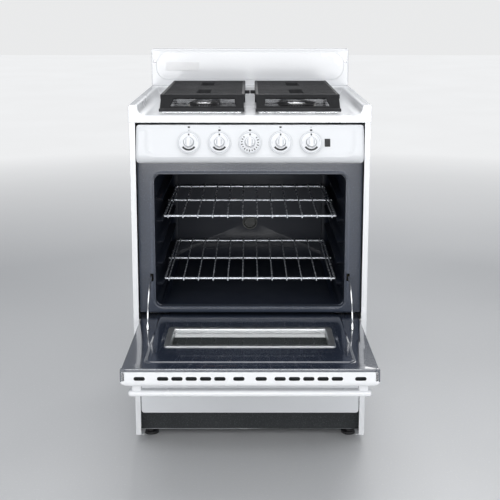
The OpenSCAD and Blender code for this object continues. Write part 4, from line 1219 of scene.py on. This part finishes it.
def makeDoorShell():
    v = doorValues
    half, low, high, outer = v["half"], -v["tail"], v["length"], v["outer"]
    bend, sheet = v["bend"], v["sheet"]

    def ring(inset, t, r):
        return doorOutline((-half + inset, half - inset), (low + inset, high - inset), r, t)

    outside, inside = [ring(0, 2, 3)], []
    for k in range(9):
        a = math.pi / 2 * k / 8
        outside.append(ring(bend * (1 - math.cos(a)), outer + bend * (1 - math.sin(a)),
            3 + 6 * math.sin(a)))
        inside.append(ring(max(bend - (bend - sheet) * math.cos(a), sheet),
            outer + sheet + (bend - sheet) * (1 - math.sin(a)), 2 + 6 * math.sin(a)))
    bm = bmesh.new()
    skin = bridge(bm, outside, capStart=False)
    lining = bridge(bm, inside[::-1] + [ring(sheet, 2, 2)], capEnd=False)
    stitch(bm, lining[-1], skin[0])
    piece = toObject("doorShell", bm)
    bm = bmesh.new()
    for x in v["slots"]:
        for side in (-1, 1):
            cx = side * x
            rings = [[onDoor(px, pt, l) for px, pt in roundedOutline((cx - v["slot"][0],
                cx + v["slot"][0]), (-13 - v["slot"][1], -13 + v["slot"][1]), 4.2, 6)]
                for l in (high - 4, high + 3)]
            bridge(bm, rings)
    x, lowGlass, highGlass = v["glass"]
    bridge(bm, [doorOutline((-x + 10, x - 10), (lowGlass + 10, highGlass - 10), 10, t)
        for t in (outer - 3, outer + 4)])
    for side in (-1, 1):
        spin(bm, [(5.6, -4), (5.6, 4)], 24, doorSpot @ Matrix.Translation((side * half, 0, 0))
            @ Matrix.Rotation(math.pi / 2, 4, "Y"))
    cut(piece, toObject("doorHoles", bm))
    place(piece, "door", "whiteEnamel", ("door_panel",), angle=40)


makeDoorShell()


def tray(name, levels, thickness):
    # stacked rounded outlines, (half width, low, high, corner, t), as a sheet that faces outwards
    bm = bmesh.new()
    rings = [doorOutline((-x, x), (low, high), r, t) for x, low, high, r, t in levels]
    bridge(bm, rings, capStart=False, capEnd=False)
    piece = toObject(name, bm)
    bm = bmesh.new()
    bm.from_mesh(piece.data)
    outwards = doorSpot.to_3x3() @ Vector((0, 1, 0))
    probe = max(bm.faces, key=lambda f: f.calc_area() * abs(f.normal.dot(outwards)))
    if probe.normal.dot(outwards) < 0:
        bmesh.ops.reverse_faces(bm, faces=bm.faces)
    bm.to_mesh(piece.data)
    bm.free()
    thicken(piece, thickness)
    return piece


def makeDoorLiner():
    v = doorValues
    x, low, high = v["plateau"]
    wx, wl, wh = v["window"]
    lip = v["lip"]
    b, top = v["border"], v["liner"]
    edge = v["half"] - 2
    end = v["length"] - 2
    tail = -v["tail"] + 2
    levels = [(edge, tail, end, 4, 2), (edge, tail, end, 4, b - 2),
        (edge - 0.6, tail + 0.6, end - 0.6, 4, b - 0.6), (edge - 2, tail + 2, end - 2, 4, b),
        (x + 4, low - 4, high + 4, 16, b), (x + 1.5, low - 1.5, high + 1.5, 14, b + 0.5),
        (x - 1, low + 1, high - 1, 12, b + 2.6), (x - 3, low + 3, high - 3, 11, top),
        (x - 22, low + 60, 309, 16, top), (x - 24, low + 62, 307, 15, top - 0.9),
        (wx + 3, wl - 3, wh + 3, 10, top - 0.9), (wx - lip, wl + lip, wh - lip, 3, top - 1.2)]
    piece = tray("doorLiner", levels, 0.9)
    bm = bmesh.new()
    for side in (-1, 1):
        cx = side * v["arm"]
        square(bm, (cx - 3.5, 0, 98), (cx + 3.5, 20, 126), doorSpot)
    cut(piece, toObject("armHoles", bm))
    place(piece, "door", "linerEnamel", ("door_liner",), angle=30)


makeDoorLiner()


def makeRetainer():
    v = doorValues
    x, low, high = v["window"]
    w = v["lip"]
    levels = []
    for inset, r, t in ((0, 8, 11.7), (0, 8, 13.2), (0.5, 7.6, 13.8), (1.5, 7, 14),
            (w - 3, 4.5, 13.7), (w - 1.2, 4, 13.2), (w, 3.6, 12), (w + 0.6, 3.2, 8),
            (w + 0.8, 3, 2.3)):
        levels.append((x - inset, low + inset, high - inset, r, t))
    place(tray("windowRetainer", levels, 1.0), "door", "retainerSteel", ("window_retainer",),
        angle=35)


makeRetainer()

keepShape("door", ("window_outer", "outerGlass", "smokedGlass", 0.4),
    ("window_inner", "innerGlass", "windowGlass", 0.4),
    ("hinge_arms", "hingeArms", "brightSteel", 0.5))


handleValues = {"half": 272.5, "end": 6, "t": (-63, -49), "l": (367, 393), "round": 6.2,
                "postX": 253.5, "postHalf": 11, "postL": (371, 389), "postRound": 4,
                "postLevels": ((-50.5, 0), (-36, 0), (-34, 0.8), (-32.6, 2))}  # (t, flare)


def makeHandle():
    v = handleValues
    stations = [(-v["half"] + v["end"] * along, v["end"] * across) for across, along in quarter(5)]
    stations += [(-x, inset) for x, inset in reversed(stations)]
    rings = []
    for x, inset in stations:
        r = v["round"] - inset * 0.5 if inset < 5 else 0.9
        rings.append([onDoor(x, t, l) for t, l in roundedOutline((v["t"][0] + inset,
            v["t"][1] - inset), (v["l"][0] + inset, v["l"][1] - inset), r, 5)])
    bm = bmesh.new()
    bridge(bm, rings)
    bar = toObject("bar", bm)
    bm = bmesh.new()
    low, high = v["postL"]
    for side in (-1, 1):
        left, right = side * v["postX"] - v["postHalf"], side * v["postX"] + v["postHalf"]
        bridge(bm, [doorOutline((left - flare, right + flare), (low - flare, high + flare),
            v["postRound"], t, 5) for t, flare in v["postLevels"]])
    place(join("doorHandle", [bar, toObject("posts", bm)]), "door", "whiteEnamel",
        ("door_handle",), angle=40)


makeHandle()

# corner returns of the liner, a black sheet behind the air slots that is painted shade for the
# dark inside of the door, and the top edge's screws
doorEndValues = {"cornerX": 281.3, "cornerHalf": 5.3, "cornerT": (-22, 9.6), "cornerRound": 3,
    "cornerLevels": ((408, 1.0), (412.5, 1.0), (414.0, 0.94), (414.5, 0.8)),
    "shadeSheet": ((-284, -31, 399.5), (284, 1.5, 400.5)), "screws": (218.3, -4.5, 412.8)}


def makeDoorEnd():
    v = doorEndValues
    bm = bmesh.new()
    for side in (-1, 1):
        cx = side * v["cornerX"]
        rings = []
        for l, s in v["cornerLevels"]:
            low, high = v["cornerT"][0] + (1 - s) * 14, v["cornerT"][1] - (1 - s) * 4
            half = v["cornerHalf"] * s
            rings.append([onDoor(cx + px, pt, l) for px,
                pt in roundedOutline((-half, half), (low, high), v["cornerRound"] * s, 5)])
        bridge(bm, rings)
    place(toObject("linerCorners", bm), "door", "linerEnamel", angle=35)
    # painted shade: a black sheet behind the air slots stands in for the shade inside the door
    bm = bmesh.new()
    square(bm, *v["shadeSheet"], doorSpot)
    place(toObject("slotBaffle", bm), "door", "kickBlack", width=0.2)


makeDoorEnd()
screwX, screwT, screwL = doorEndValues["screws"]
putScrews("doorScrews", [onDoor(x, screwT, screwL) for x in (-screwX, screwX)],
    (math.radians(88), 0, 0), "door", size=0.9)
print("range: door placed")

# drawer
drawerValues = {"half": 285, "z": (91, 288), "front": -18, "back": 2, "edge": 3.4, "sheet": 1.2}


def makeDrawerFront():
    v = drawerValues
    low, high = v["z"]

    def ring(inset, depth, r):
        return outlineAt(v["half"] - inset, (low + inset, high - inset), r, depth)

    rings = [ring(v["sheet"], v["back"], 7), ring(0, v["back"], 8)]
    for across, along in quarter():
        rings.append(ring(v["edge"] * along, v["front"] + v["edge"] * across, 8 - 2 * along))
    bm = bmesh.new()
    bridge(bm, rings, capStart=False)
    bridge(bm, [ring(v["sheet"], d, 7) for d in (v["back"], v["front"] + 1.3)], capStart=False)
    place(toObject("drawerFront", bm), "drawer", "panelWhite", ("drawer_front",), angle=35)


makeDrawerFront()
keepShape("drawer", ("drawer_body", "drawerBody", "zincSteel", 0),
    ("broiler_pan", "broilerPan", "panEnamel", 0), ("broiler_grid", "broilerGrid", "panEnamel", 0))

# the CAD nodes that keep their own shape take a finish here
kept = {"zincSteel": ["burner_tubes", "gas_manifold", "flame_spreader", "drawer_rails",
    "hinge_brackets"], "valveBrass": ["burner_valves", "oven_thermostat"],
    "electrodeCeramic": ["spark_electrodes"], "regulatorGrey": ["gas_regulator"],
    "castAluminium": ["oven_burner"], "copperTube": ["thermostat_bulb"],
    "lampGlass": ["oven_lamp"], "mineralWool": ["oven_insulation", "door_insulation"],
    "brightSteel": [f"valve_stem_{i}" for i in range(1, 6)],}
for material, names in kept.items():
    for name in names:
        for socket in nodes[name].material_slots:
            socket.material = paint[material]
print("range: inner parts finished")

# a pale floor that fades into the background, well away from the range
floorPaint = finish("studioFloor", None, (0.60, 0.605, 0.61), (0.63, 0.635, 0.64),
    rough=(0.35, 0.5), patch=1.2, peel=(90.0, 0.4, 0.12), fleck=(160.0, 0.2, (0.68, 0.685, 0.69)))
tree = floorPaint.node_tree
shader = tree.nodes["Principled BSDF"]
reach = addNode(tree, "ShaderNodeVectorMath", operation="LENGTH")
fade = addNode(tree, "ShaderNodeMapRange", **{"From Min": 1.8, "From Max": 5.0})
tree.links.new(tree.nodes.new("ShaderNodeTexCoord").outputs["Object"], reach.inputs[0])
tree.links.new(reach.outputs["Value"], fade.inputs["Value"])
near = shader.inputs["Base Color"].links[0].from_socket
away = fade.outputs["Result"]
tree.links.new(mixColour(tree, away, near, (0.02, 0.02, 0.02)), shader.inputs["Base Color"])
glow = mixColour(tree, away, (0.0, 0.0, 0.0), (0.8, 0.805, 0.81))
tree.links.new(glow, shader.inputs["Emission Color"])
shader.inputs["Emission Strength"].default_value = 1.0
floorReach, floorThick = 20000, 30
bm = bmesh.new()
square(bm, (-floorReach, -floorReach, -floorThick), (floorReach, floorReach, 0))
ground = toObject("studioGround", bm)
ground.data.materials.append(floorPaint)

print("range: everything placed")
